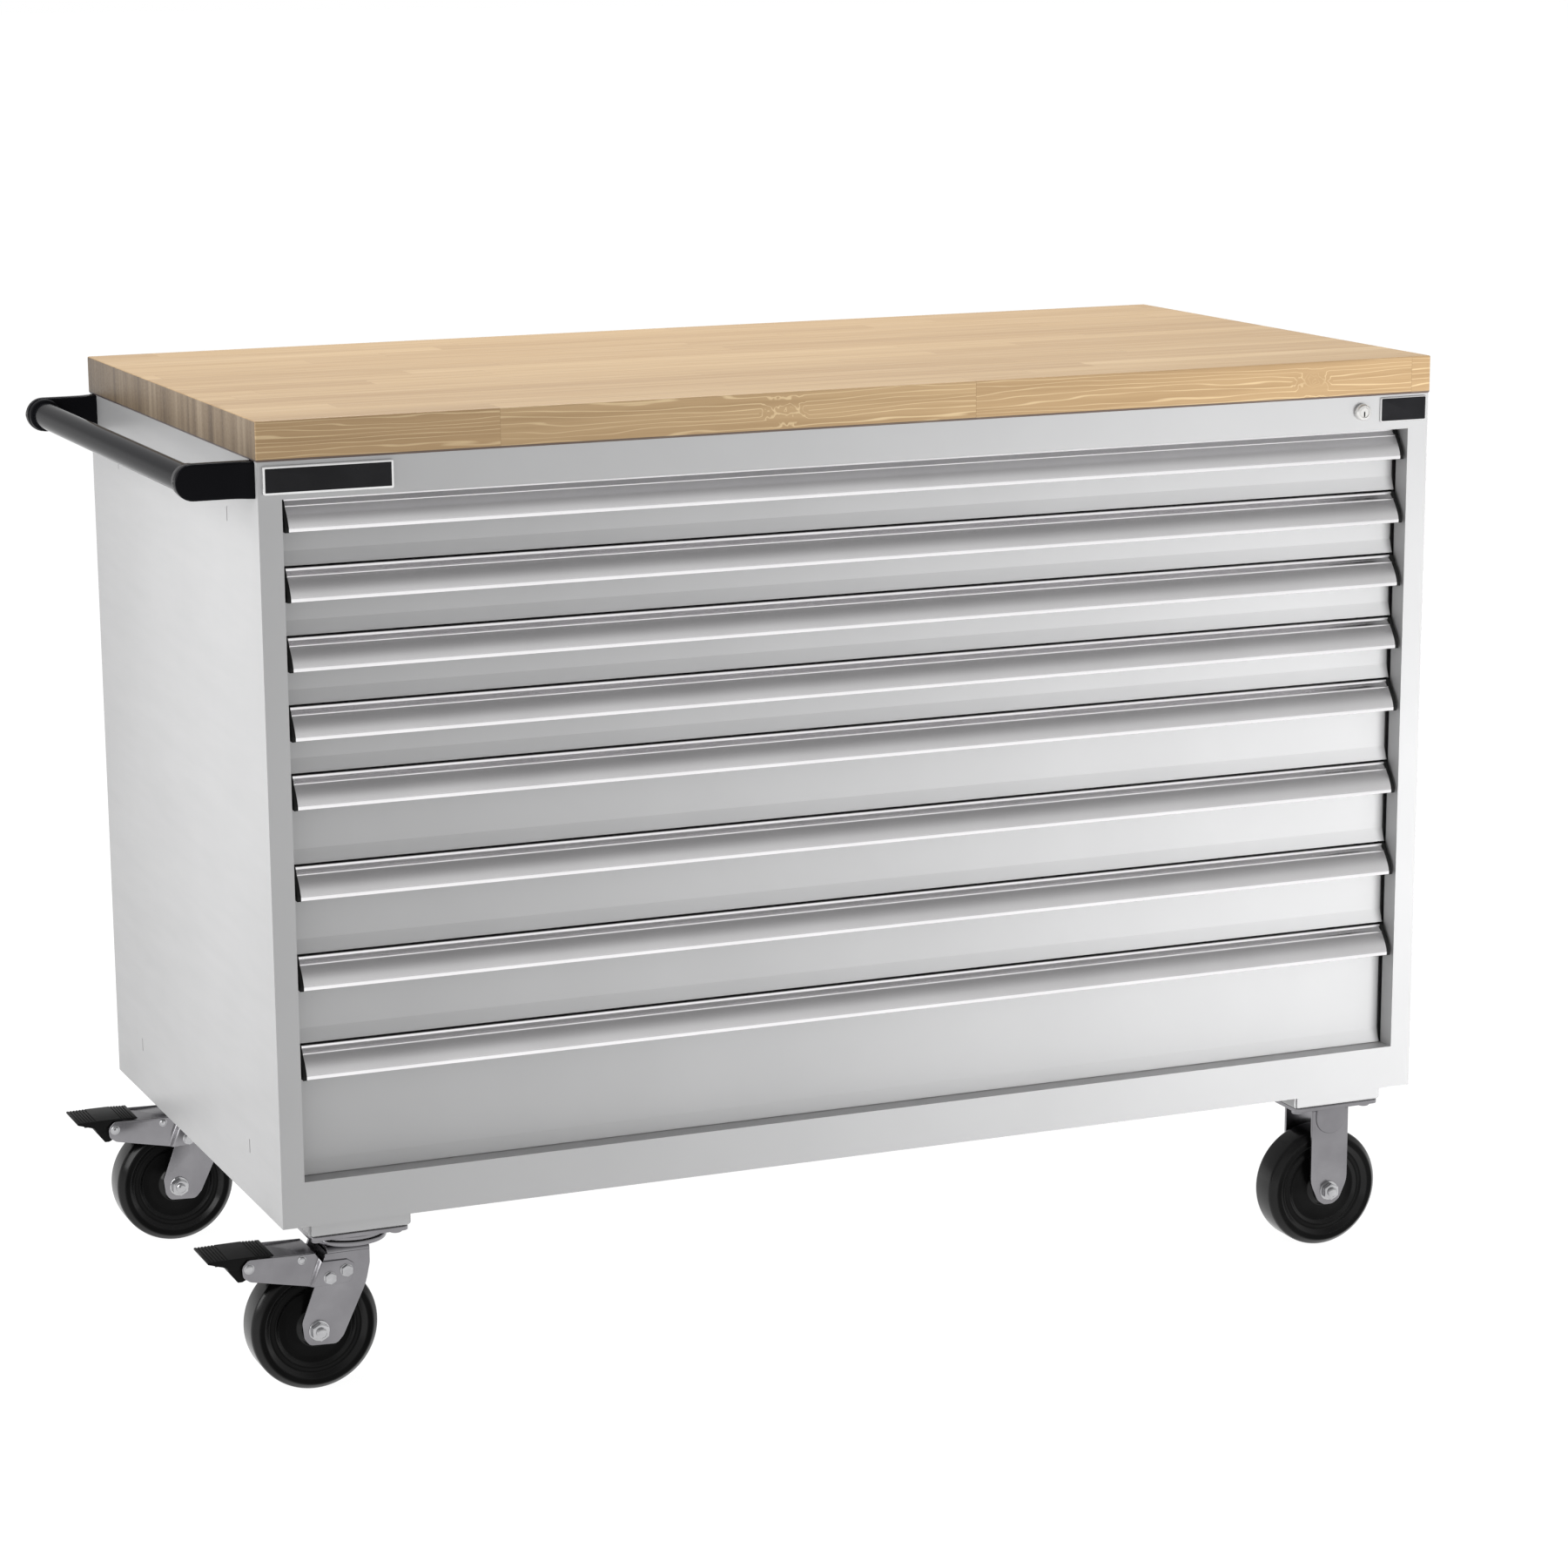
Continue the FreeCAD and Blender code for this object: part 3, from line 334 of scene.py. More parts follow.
FIELD = moulded("plate_field", (0.006, 0.006, 0.007), 0.24, 0.05, 0.14)
WOOD = butcher_block()

# ---------------------------------------------------------------- shapes


def turned(axis, a, b, c):
    """A point from its two coordinates across an axis and its distance along the axis."""
    return {"X": (c, a, b), "Y": (a, c, b), "Z": (a, b, c)}[axis]


def rounded(corners, step=15):
    """The outline through (a, b, radius) corners, each turned with an arc of its radius."""
    points = []
    count = len(corners)
    for index, (a, b, *radius) in enumerate(corners):
        here = Vector((a, b))
        radius = radius[0] if radius else 0
        before = (Vector(corners[index - 1][:2]) - here).normalized()
        after = (Vector(corners[(index + 1) % count][:2]) - here).normalized()
        angle = before.angle(after)
        if not radius or angle > math.radians(178):
            points.append((a, b))
            continue
        reach = radius / math.tan(angle / 2)
        centre = here + (before + after).normalized() * (radius / math.sin(angle / 2))
        start = here + before * reach - centre
        end = here + after * reach - centre
        sweep = start.angle_signed(end)
        steps = max(2, round(abs(math.degrees(sweep)) / step))
        for k in range(steps + 1):
            turn = Matrix.Rotation(-sweep * k / steps, 2)
            points.append(tuple(centre + turn @ start))
    return points


def inset(outline, distance):
    """The outline moved inwards by a distance."""
    count = len(outline)
    area = sum(
        outline[i][0] * outline[(i + 1) % count][1] - outline[(i + 1) % count][0] * outline[i][1]
        for i in range(count))
    side = 1 if area > 0 else -1
    moved = []
    for i in range(count):
        here = Vector(outline[i])
        before = (here - Vector(outline[i - 1])).normalized()
        after = (Vector(outline[(i + 1) % count]) - here).normalized()
        first = Vector((-before.y, before.x)) * side
        second = Vector((-after.y, after.x)) * side
        miter = first + second
        scale = 2 * distance / max(miter.length_squared, 1.0)
        moved.append(tuple(here + miter * scale))
    return moved


def box_outline(a, b, radius):
    """A rectangle between pairs of coordinates, with rounded corners."""
    return rounded([
        (a[0], b[0], radius), (a[1], b[0], radius), (a[1], b[1], radius), (a[0], b[1], radius)])


class Shape:
    """A mesh being built, in millimetres from an origin given in metres."""

    def __init__(self, *origin):
        self.mesh = bmesh.new()
        self.origin = Vector(origin)

    def loft(self, loops, ring=False):
        """Joins loops of points, each to the next; a ring also joins the last to the first."""
        rows = [[self.mesh.verts.new(point) for point in loop] for loop in loops]
        count = len(rows[0])
        pairs = list(zip(rows, rows[1:])) + ([(rows[-1], rows[0])] if ring else [])
        for low, high in pairs:
            for i in range(count):
                j = (i + 1) % count
                self.mesh.faces.new((low[i], low[j], high[j], high[i]))
        if not ring:
            self.mesh.faces.new(rows[0][::-1])
            self.mesh.faces.new(rows[-1])
        return self

    def prism(self, outline, axis, low, high, edge=0.4):
        """An outline extruded along an axis, with its end edges rounded."""
        steps = [(edge * (1 - math.sin(a)), edge * (1 - math.cos(a)))
                 for a in (0, math.pi / 6, math.pi / 3, math.pi / 2)] if edge else [(0, 0)]
        loops = [(inset(outline, inwards), low + along) for inwards, along in steps]
        loops += [(inset(outline, inwards), high - along) for inwards, along in reversed(steps)]
        return self.loft([[turned(axis, a, b, along) for a, b in loop] for loop, along in loops])

    def box(self, x, y, z, edge=0.4, corner=0.5, axis="Z"):
        sides = {"X": (y, z, x), "Y": (x, z, y), "Z": (x, y, z)}[axis]
        return self.prism(box_outline(sides[0], sides[1], corner), axis, *sides[2], edge)

    def turn(self, axis, at, rings, segments=64, ring=False):
        """Rings round an axis, each (radius, distance along it), or functions of the angle."""
        loops = []
        for radius, along in rings:
            loop = []
            for k in range(segments):
                angle = 2 * math.pi * k / segments
                r = radius(angle) if callable(radius) else radius
                h = along(angle) if callable(along) else along
                point = turned(axis, r * math.cos(angle), r * math.sin(angle), h)
                loop.append(Vector(point) + Vector(at))
            loops.append(loop)
        return self.loft(loops, ring)

    def hexagon(self, axis, at, radius, height, sign):
        """A bolt head or nut on a washer face, its corners turned down to a cone."""
        flat = radius * math.cos(math.pi / 6)

        def edge(angle):
            return flat / math.cos((angle + math.pi / 6) % (math.pi / 3) - math.pi / 6)

        def shoulder(angle):
            return sign * (height - max(0.0, edge(angle) - flat * 0.95) * 0.55)

        return self.turn(axis, at, [
            (flat * 0.93, 0),
            (flat * 0.93, sign * 0.5),
            (edge, sign * 0.6),
            (edge, shoulder),
            (flat * 0.95, sign * height),
            (flat * 0.80, sign * (height + 0.05)),
        ], 48)

    def washer(self, axis, at, radius, thickness, sign):
        return self.turn(axis, at, [
            (radius, 0),
            (radius, sign * thickness * 0.6),
            (radius - 0.5, sign * thickness),
            (radius * 0.5, sign * thickness),
        ], 48)

    def dome(self, axis, at, radius, height, sign):
        """A rivet's rounded head."""
        rings = [
            (radius * math.cos(a), sign * height * (0.15 + 0.85 * math.sin(a)))
            for a in (math.radians(d) for d in (0, 20, 40, 60, 78))]
        return self.turn(axis, at, [(radius, 0), *rings], 40)

    def cylinder(self, axis, at, radius, low, high, edge=0.4, segments=48):
        return self.turn(axis, at, [
            (radius - edge, low),
            (radius, low + edge),
            (radius, high - edge),
            (radius - edge, high),
        ], segments)

    def absorb(self, other):
        """Adds another shape's mesh to this one."""
        mesh = bpy.data.meshes.new("part")
        other.mesh.to_mesh(mesh)
        other.mesh.free()
        self.mesh.from_mesh(mesh)
        bpy.data.meshes.remove(mesh)

    def add(self, name, material, body, slot, *nodes, sharp=38):
        """Makes the object, which rides on a body and stands for the given nodes."""
        bmesh.ops.recalc_face_normals(self.mesh, faces=self.mesh.faces[:])
        self.mesh.transform(Matrix.Translation(self.origin) @ Matrix.Scale(MM, 4))
        mesh = bpy.data.meshes.new(name)
        self.mesh.to_mesh(mesh)
        self.mesh.free()
        mesh.shade_smooth()
        mesh.set_sharp_from_angle(angle=math.radians(sharp))
        mesh.materials.append(material)
        thing = bpy.data.objects.new(name, mesh)
        bpy.context.scene.collection.objects.link(thing)
        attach(thing, body)
        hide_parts(*nodes)


# ---------------------------------------------------------------- cabinet


def keep_node(node, material, edge):
    """Shows a CAD node as it is, with its edges softened."""
    thing = frame["nodes"][node]
    thing.data.materials.clear()
    thing.data.materials.append(material)
    thing.data.shade_smooth()
    thing.data.set_sharp_from_angle(angle=math.radians(35))
    softening = thing.modifiers.new("soft_edges", "BEVEL")
    softening.width = edge * MM
    softening.segments = 3
    softening.limit_method = "ANGLE"
    softening.angle_limit = math.radians(40)


def cabinet():
    for node in ("left_side_panel", "right_side_panel", "front_header", "base_pan"):
        keep_node(node, PAINT, 0.7)
    keep_node("back_panel", PAINT, 0.4)
    keep_node("slide_columns", DULL_ZINC, 0.3)
    keep_node("worktop", WOOD, 0.3)
    keep_node("lock_bar", DULL_ZINC, 0.3)
    for number in DRAWERS:
        keep_node(f"carriage_{number}", DULL_ZINC, 0.3)


def caster_channels():
    """Two folded pans whose flanges leave an open notch at each corner."""
    low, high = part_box("caster_channels")
    half, tall = 59.5, (high.z - low.z) / MM
    wall, bend, notch, recess = 2.5, 4, 2.6, 1.3
    long = (high.y - low.y) / MM / 2

    def loop(inwards, corner, level):
        x, y = half - inwards, long - inwards
        points = []
        for sx, sy in ((-1, -1), (1, -1), (1, 1), (-1, 1)):
            along = (sx * (x - corner), sy * y)
            inner = (sx * (x - corner), sy * (y - corner))
            up = (sx * x, sy * (y - corner))
            points += [up, inner, along] if sx * sy > 0 else [along, inner, up]
        return [(a, b, level) for a, b in points]

    for name, x in (("left", low.x + half * MM), ("right", high.x - half * MM)):
        shape = Shape(x, (low.y + high.y) / 2, low.z)
        loops = []
        for k in range(6):
            angle = math.pi / 2 * k / 5
            inwards = bend * (1 - math.sin(angle))
            loops.append(loop(inwards, notch * min(1, k / 2 + 0.2), bend * (1 - math.cos(angle))))
        loops += [
            loop(0, notch, tall - 2.4),
            loop(recess, notch, tall - 1.6),
            loop(recess, notch, tall),
            loop(wall - 0.4, notch, tall),
            loop(wall, notch, tall - 0.4),
            loop(wall, notch, wall + 1.5),
            loop(wall + 1.5, notch, wall),
        ]
        shape.loft(loops).add(
            f"{name}_caster_channel", PAINT, "cabinet", "grey_paint", "caster_channels")


def push_handle():
    """Gloss black tube between two flat arms with rounded ends, collars and flared feet."""
    low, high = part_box("push_handle")
    collar, reach = 20, 64.5
    middle = (low.y + high.y) / 2
    outer = (high.y - middle) / MM - 9
    inner = outer - 14
    origin = (low.x + collar * MM, middle, (low.z + high.z) / 2)
    stations = [(reach, 9), (reach - 2, 8.6), (reach - 6, 7), (reach - 10, 4.6), (reach - 14, 2.5)]
    stations += [(reach - 19, 0.8), (reach - 24, 0), (30, 0), (15, 0), (0, 0)]
    stations = [(x, flare, collar) for x, flare in stations]
    for degrees in (12, 24, 36, 48, 58, 67, 75, 82):
        angle = math.radians(degrees)
        stations.append((-collar * math.sin(angle), 0, collar * math.cos(angle)))
    for sign, name in ((-1, "front"), (1, "rear")):
        loops = []
        for x, flare, half in stations:
            radius = min(3.5, half * 0.9)
            near, far = sorted((sign * inner, sign * (outer + flare)))
            loops.append([(x, a, b) for a, b in box_outline((near, far), (-half, half), radius)])
        Shape(*origin).loft(loops).add(
            f"{name}_handle_arm", BLACK_PAINT, "cabinet", "black_paint", "push_handle", sharp=60)
        Shape(*origin).turn("Y", (0, sign * inner, 0), [
            (collar - 1.0, sign * 1.5),
            (collar - 1.0, -sign * 7.5),
            (collar - 1.6, -sign * 9.0),
            (collar - 3.0, -sign * 9.8),
            (14, -sign * 10),
        ], 96).add(f"{name}_handle_collar", BLACK_PAINT, "cabinet", "black_paint", "push_handle")
    Shape(*origin).cylinder("Y", (0, 0, 0), 15.5, -inner + 4, inner - 4, 0.4, 128).add(
        "handle_tube", BLACK_PAINT, "cabinet", "black_paint", "push_handle")


def lock():
    low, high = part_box("lock_housing")
    centre = ((low.x + high.x) / 2, FRONT, (low.z + high.z) / 2)
    Shape(*centre).turn("Y", (0, 0, 0), [
        (9.5, 0.0), (9.5, -5.6), (9.3, -6.5), (8.8, -7.3), (8.0, -7.8), (7.0, -8.0),
        (6.35, -8.0), (6.1, -7.8), (6.1, 19.8), (8.0, 19.8), (8.0, 0.0),
    ], 96, ring=True).add("lock_knob", LOCK_METAL, "cabinet", "lock_metal", "lock_housing")

    plug = Shape(*centre)
    circle = [(math.cos(2 * math.pi * k / 48), math.sin(2 * math.pi * k / 48)) for k in range(48)]

    def key(level, grow=0.0):
        points = []
        for a, b in circle:
            scale = min((0.9 + grow) / max(abs(a), 1e-9), (3.0 + grow) / max(abs(b), 1e-9))
            points.append((a * scale, level, b * scale - 2.1))
        return points

    back = (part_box("lock_plug")[1].y - FRONT) / MM
    plug.loft([
        [(a * 6, back - 6, b * 6) for a, b in circle],
        [(a * 6, -7.5, b * 6) for a, b in circle],
        [(a * 5.6, -7.9, b * 5.6) for a, b in circle],
        key(-7.9, 0.25),
        key(-7.6),
        key(3.0),
    ])
    offset = 10 * 0.5 ** 0.5
    plug.prism(rounded([
        (-4, -4, 2), (4, -4, 2), (4, 2, 3), (-offset + 3, offset + 3, 3),
        (-offset - 3, offset + 3, 3), (-offset - 3, offset - 3, 3),
    ]), "Y", back - 6, back - 4, 0.3)
    plug.cylinder("Y", (-offset, 0, offset), 2, back - 4, back)
    plug.add("lock_plug_and_cam", LOCK_METAL, "lock_plug", "lock_metal", "lock_plug")


def badge_plates():
    """Two blank plates: a bright raised rim round a plain black field."""
    low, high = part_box("badge_plates")
    plates = {
        "name": ((low.x, low.x + 145.8 * MM), (low.z, low.z + 31 * MM), 3.0),
        "emblem": ((high.x - 62 * MM, high.x), (high.z - 29 * MM, high.z), 2.5),
    }
    for name, (x, z, thick) in plates.items():
        half = ((x[1] - x[0]) / MM / 2, (z[1] - z[0]) / MM / 2)
        centre = ((x[0] + x[1]) / 2, FRONT, (z[0] + z[1]) / 2)

        def loop(inwards, level):
            a, b = half[0] - inwards, half[1] - inwards
            radius = max(0.4, 2.2 - inwards * 0.6)
            return [(p, level, q) for p, q in box_outline((-a, a), (-b, b), radius)]

        rim = 2.5 if name == "name" else 1.3
        Shape(*centre).loft([
            loop(0, 0),
            loop(0, -thick + 0.7),
            loop(0.25, -thick + 0.2),
            loop(0.7, -thick),
            loop(rim, -thick),
            loop(rim + 0.3, -thick + 0.7),
            loop(rim + 0.3, 0),
        ], ring=True).add(f"{name}_plate_rim", RIM_METAL, "cabinet", "badge_plastic", "badge_plates")
        Shape(*centre).loft([
            loop(rim + 0.2, -0.2),
            loop(rim + 0.2, -thick + 0.75),
            loop(rim + 0.5, -thick + 0.65),
        ]).add(f"{name}_plate_field", FIELD, "cabinet", "badge_plastic", "badge_plates")


# ---------------------------------------------------------------- drawers


def channel(wall, lip, half, middle):
    """The outline of a slide rail between the X of its web and of its lips."""
    gauge = 1.5 if lip > wall else -1.5
    return rounded([
        (wall, middle - half, 1.8),
        (lip, middle - half, 0.6),
        (lip, middle - half + 1.5, 0.6),
        (wall + gauge, middle - half + 1.5, 0.6),
        (wall + gauge, middle + half - 1.5, 0.6),
        (lip, middle + half - 1.5, 0.6),
        (lip, middle + half, 0.6),
        (wall, middle + half, 1.8),
    ])


def tray(number):
    """A folded front with a flared foot, an open box with a hemmed rim and the slide members."""
    node = f"drawer_{number}_tray"
    body = f"drawer_{number}"
    low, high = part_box(node)
    flare, knee, gauge, side_gap = 5.5, 15.5, 1.5, 10.4
    tall = (high.z - low.z) / MM
    half = (high.x - low.x) / MM / 2
    deep = (high.y - low.y) / MM - flare
    origin = ((low.x + high.x) / 2, low.y + flare * MM, low.z)

    steps = 14
    bend = []
    for k in range(steps + 1):
        share = 1 - k / steps
        bend.append((-flare * (0.75 * share + 0.25 * share * share), knee * k / steps))
    outer = bend + [(0, tall - 0.8), (0.25, tall - 0.2), (0.8, tall)]
    inner = [(gauge, tall - 0.2), (gauge, knee)]
    inner += [(y + 1.6, z) for y, z in reversed(bend[:-1])]
    Shape(*origin).prism(outer + inner, "X", -half, half, 0.35).add(
        f"drawer_{number}_front", PAINT, body, "grey_paint", node, sharp=9)

    wide = half - side_gap
    floor, rim, hem = 5.5, tall - 10, 11
    walls = Shape(*origin)
    walls.prism(rounded([
        (-wide, rim, 1.2),
        (-wide, floor, 3),
        (wide, floor, 3),
        (wide, rim, 1.2),
        (wide - 3.0, rim, 1.2),
        (wide - 3.0, rim - hem, 0.6),
        (wide - gauge, rim - hem - 0.4, 0.4),
        (wide - gauge, floor + gauge, 1.8),
        (-wide + gauge, floor + gauge, 1.8),
        (-wide + gauge, rim - hem - 0.4, 0.4),
        (-wide + 3.0, rim - hem, 0.6),
        (-wide + 3.0, rim, 1.2),
    ]), "Y", 1.6, deep - gauge, 0.2)
    walls.box((-wide + 1.6, wide - 1.6), (deep - gauge, deep), (floor + 1.6, rim - 1), 0.3)
    walls.box((-wide + 3.1, wide - 3.1), (1.6, 3.2), (floor + 1.6, rim), 0.3)
    walls.box((-wide + 3.1, wide - 3.1), (3.2, 12), (rim - 1.6, rim), 0.4)
    walls.box((-wide + 3.1, wide - 3.1), (deep - 10, deep - 1.6), (rim - 2.6, rim - 1), 0.4)
    walls.add(f"drawer_{number}_box", PAINT, body, "grey_paint", node)

    members = Shape(*origin)
    lip, member_half, member_middle = half - 2.5, 16.7, 34
    for sign in (-1, 1):
        outline = channel(sign * wide, sign * lip, member_half, member_middle)
        members.prism(outline, "Y", 3, deep, 0.3)
    members.add(f"drawer_{number}_slides", DULL_ZINC, body, "grey_paint", node)


PULL_REACH = 18.2
PULL_DROP = 34.6


def curved_face(out, down, deep, steps):
    """The points (out, down) of a pull's curved face, from its top to its foot."""
    shares = [k / steps for k in range(steps + 1)]
    return [(out + 20.6 * (0.90 * s - 0.28 * s * s), down + deep * s) for s in shares]


OUTER_FACE = curved_face(5.0, 9.0, 20.2, 18)


def pull_outline():
    """The pull's outer surface from the front of its ledge to its lip, as (out, down)."""
    return [
        (-0.9, 0), (-0.35, 0.1), (-0.05, 0.4), (0.05, 0.9), (0.1, 1.9), (0.0, 2.15),
        (-0.45, 2.35), (-0.45, 2.75), (-0.1, 3.0), (1.3, 4.8), (2.8, 6.4), (4.1, 7.35),
        (4.4, 7.4), (4.85, 7.6), (5.1, 8.0), (5.05, 8.45), (4.9, 8.75), *OUTER_FACE,
        (17.55, 29.45), (17.6, 29.7), (17.95, 29.95), (18.15, 30.4), (PULL_REACH, 31.0),
        (PULL_REACH, 33.9), (18.05, 34.4), (17.7, PULL_DROP),
    ]


def pull(number):
    """A satin aluminium extrusion: ledge, groove, bead, curved face and a straight lip."""
    node = f"drawer_{number}_pull"
    low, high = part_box(node)
    half = (high.x - low.x) / MM / 2
    origin = ((low.x + high.x) / 2, low.y + PULL_REACH * MM, high.z)
    face, wall, leg = (high.y - origin[1]) / MM, 2.0, 28.4
    outer = [(face, 0)] + [(-out, -down) for out, down in pull_outline()]
    inner = [(-16.5, -PULL_DROP), (-16.2, -34.3), (-16.1, -30.0)]
    inner += [(-out, -down) for out, down in reversed(curved_face(3.0, 10.4, 18.4, 10))]
    inner += [
        (0.4, -3.6), (1.6, -wall), (face - wall, -wall), (face - wall, -leg), (face, -leg)]
    Shape(*origin).prism(outer + inner, "X", -half, half, 0).add(
        node + "_extrusion", ALUMINIUM, f"drawer_{number}", "aluminium", node, sharp=24)

    caps = f"drawer_{number}_caps"
    cap_low, cap_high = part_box(caps)
    thick, proud = 4.6, 0.6
    outline = rounded([
        (face, proud),
        (-0.4, proud, 1.5),
        *((-out - proud, -down + proud * 0.5) for out, down in [(5.2, 8.6), *OUTER_FACE]),
        (-PULL_REACH - proud, -30.0, 1.0),
        (-PULL_REACH - proud, -PULL_DROP - proud, 1.2),
        (face, -PULL_DROP - proud, 0.6),
    ])
    ends = Shape(*origin)
    for start in ((cap_low.x - origin[0]) / MM, (cap_high.x - origin[0]) / MM - thick):
        ends.prism(outline, "X", start, start + thick, 0.7)
    ends.add(caps + "_pair", PLASTIC, f"drawer_{number}", "black_plastic", caps)


# ---------------------------------------------------------------- casters

CHEEK_INNER, CHEEK_THICK = 30, 4
CHEEK_OUTER = CHEEK_INNER + CHEEK_THICK
PLATE_BOLT_X, PLATE_BOLT_Y = 46, 33.3

def near_and_far(build):
    """Calls build with the sign of -Y and then of +Y."""
    for sign in (-1, 1):
        build(sign)


def spread_y(sign, inner, thickness):
    return sorted((sign * inner, sign * (inner + thickness)))


def mounting_plate(shape):
    shape.prism(box_outline((-57, 57), (-51, 51), 7), "Z", 0, PLATE_THICK, 0.8)


def swivel_plate(place):
    """The fixed half of a swivel caster: plate, upper race cup and riveted kingpin."""
    shape = Shape(SWIVEL_X, joint_place(f"{place}_swivel").y, PLATE_LOW)
    mounting_plate(shape)
    shape.turn("Z", (0, 0, 0), [
        (40, 0.2), (41.5, -0.8), (42.6, -2.2), (43, -4), (43, -5.6), (42.5, -6.6), (41.5, -7),
        (37, -7), (35.5, -6.2), (34, -4), (10, -4),
    ], 96)
    shape.turn("Z", (0, 0, 0), [
        (7.7, -3), (7.7, -20.5), (12, -20.8), (12, -23), (11, -24.3), (8, -25), (4, -25),
    ], 64)
    shape.add(f"{place}_swivel_plate", ZINC, "cabinet", "zinc_steel", "swivel_plates")


def swivel_fork(place):
    """The turning half: lower race cup, a crown bent down at both sides and raked cheeks."""
    node = f"{place}_fork"
    shape = Shape(SWIVEL_X, joint_place(f"{place}_swivel").y, PLATE_LOW)
    cheek = rounded([
        (-36.2, -21), (15, -21), (15, -37, 20), (10, -60, 60),
        (-18, AXLE_DROP - 9, 9), (-26, AXLE_DROP - 18, 9), (-58, AXLE_DROP - 16.5, 8),
        (-64, AXLE_DROP - 8, 8), (-66, AXLE_DROP + 11, 10),
    ])
    near_and_far(lambda sign: shape.prism(cheek, "Y", *spread_y(sign, CHEEK_INNER, CHEEK_THICK), 0.6))
    shape.prism(rounded([
        (-34, -20.9), (-34, -14, 6.5), (34, -14, 6.5), (34, -20.9),
        (30, -20.9), (30, -18, 2.5), (-30, -18, 2.5), (-30, -20.9),
    ]), "X", -34.5, 15, 0.5)
    shape.turn("Z", (0, 0, 0), [
        (36, -14.1), (41, -14.0), (43.4, -13.2), (44, -11.6), (44, -9.4), (43.4, -8.3), (42, -8.0),
        (40, -8.0), (39, -8.6), (38, -10.5), (8.2, -10.5),
    ], 96)
    shape.add(node + "_pressing", ZINC, f"{place}_caster", "zinc_steel", node)


def brake_arm(place):
    """Two side plates, joggled out over the cheeks, with a web and a turned top edge."""
    node = f"{place}_brake_arm"
    shape = Shape(SWIVEL_X, joint_place(f"{place}_swivel").y, PLATE_LOW)
    slope, start, joggle, step_out = 0.398, (-46.5, -28.6), 6, 7

    def side(sign):
        part = Shape(0, 0, 0)
        part.prism(rounded([
            (-124, -17.9, 6), (-47.5, -20.0, 1), (-41.5, -28.8, 1), (-12, -29.2, 3),
            (-4.5, -34.5, 4), (-4, -40, 4), (-8, -56, 6), (-58, -57.5, 1),
            (-123, -44, 8), (-131, -38, 6), (-132, -26, 8),
        ]), "Y", 27, 30, 0.7)
        for k in range(joggle + 1):
            geometry = part.mesh.verts[:] + part.mesh.edges[:] + part.mesh.faces[:]
            bmesh.ops.bisect_plane(
                part.mesh, geom=geometry, plane_co=(start[0] + k, 0, start[1]),
                plane_no=(1, 0, -slope))
        for vertex in part.mesh.verts:
            x, y, z = vertex.co
            share = (x - start[0] - slope * (z - start[1])) / joggle
            share = min(1, max(0, share))
            y += step_out * share * share * (3 - 2 * share)
            vertex.co = (x, sign * y, z)
        shape.absorb(part)

    near_and_far(side)
    shape.box((-94, -46), (-27.2, 27.2), (-23.5, -20.8), 0.5, 1.0)
    shape.add(node + "_pressing", ZINC, f"{place}_caster", "zinc_steel", node)


def brake_pedal(place):
    """A moulded pedal: a wide pad grooved near both ends, over a narrower hook."""
    node = f"{place}_pedal"
    shape = Shape(SWIVEL_X, joint_place(f"{place}_swivel").y, PLATE_LOW)
    top = [(-95, -15.5, 0.8)]

    def level(x):
        return -15.5 + (-95 - x) * 0.05 if x > -121 else -14.2 + (-121 - x) * -0.0162

    grooves = [-100 - 3.6 * k for k in range(5)] + [-147 - 3.8 * k for k in range(6)]
    for x in grooves:
        for across, drop in ((0, 0), (-0.35, 0.8), (-1.35, 0.8), (-1.7, 0)):
            top.append((x + across, level(x) - drop))
    top += [
        (-170.5, -15.0, 0.9), (-170.5, -17.5, 0.9), (-151, -23.5, 3), (-145, -28, 1),
        (-134.8, -28, 1), (-134.8, -24.5, 1), (-126.5, -17.2, 2), (-95, -17.2, 0.8),
    ]
    shape.prism(rounded(top), "Y", -30, 30, 0.5)
    shape.prism(rounded([
        (-112, -16.0, 1), (-151, -20, 1), (-145, -32, 6), (-136, -44, 1.5), (-131, -44, 1.5),
        (-118, -38, 6), (-112, -30, 3),
    ]), "Y", -26.4, 26.4, 1.0)
    for y in (-20, 0, 20):
        shape.box((-160, -136), (y - 1.2, y + 1.2), (-24, -16), 0.3, 0.3, "Y")
    shape.add(node + "_moulding", PEDAL_PLASTIC, f"{place}_pedal", "black_plastic", node)


def wheel(place, side):
    """A solid resin wheel: rounded tread, flat flank, stepped ring, dished web and hub."""
    node = f"{place}_{side}_wheel"
    centre = joint_place(f"{place}_{side}_roll")
    face = [
        (6.1, 25.4, 0.3), (17.5, 25.4, 3.0), (22.5, 20.5, 3.5), (35, 18.2, 3), (42.5, 17.2, 3.5),
        (47.5, 21.2, 3.0), (53.5, 19.2, 3.0), (60.0, 24.9, 4.0), (66.5, 25.0, 5), (74, 17.0, 8),
    ]
    mirrored = [(radius, -along, turn) for radius, along, turn in reversed(face)]
    profile = rounded(face + mirrored, 10)
    Shape(*centre).turn("Y", (0, 0, 0), profile, 160, ring=True).add(
        node + "_moulding", WHEEL_RESIN, node, "phenolic", node, sharp=30)


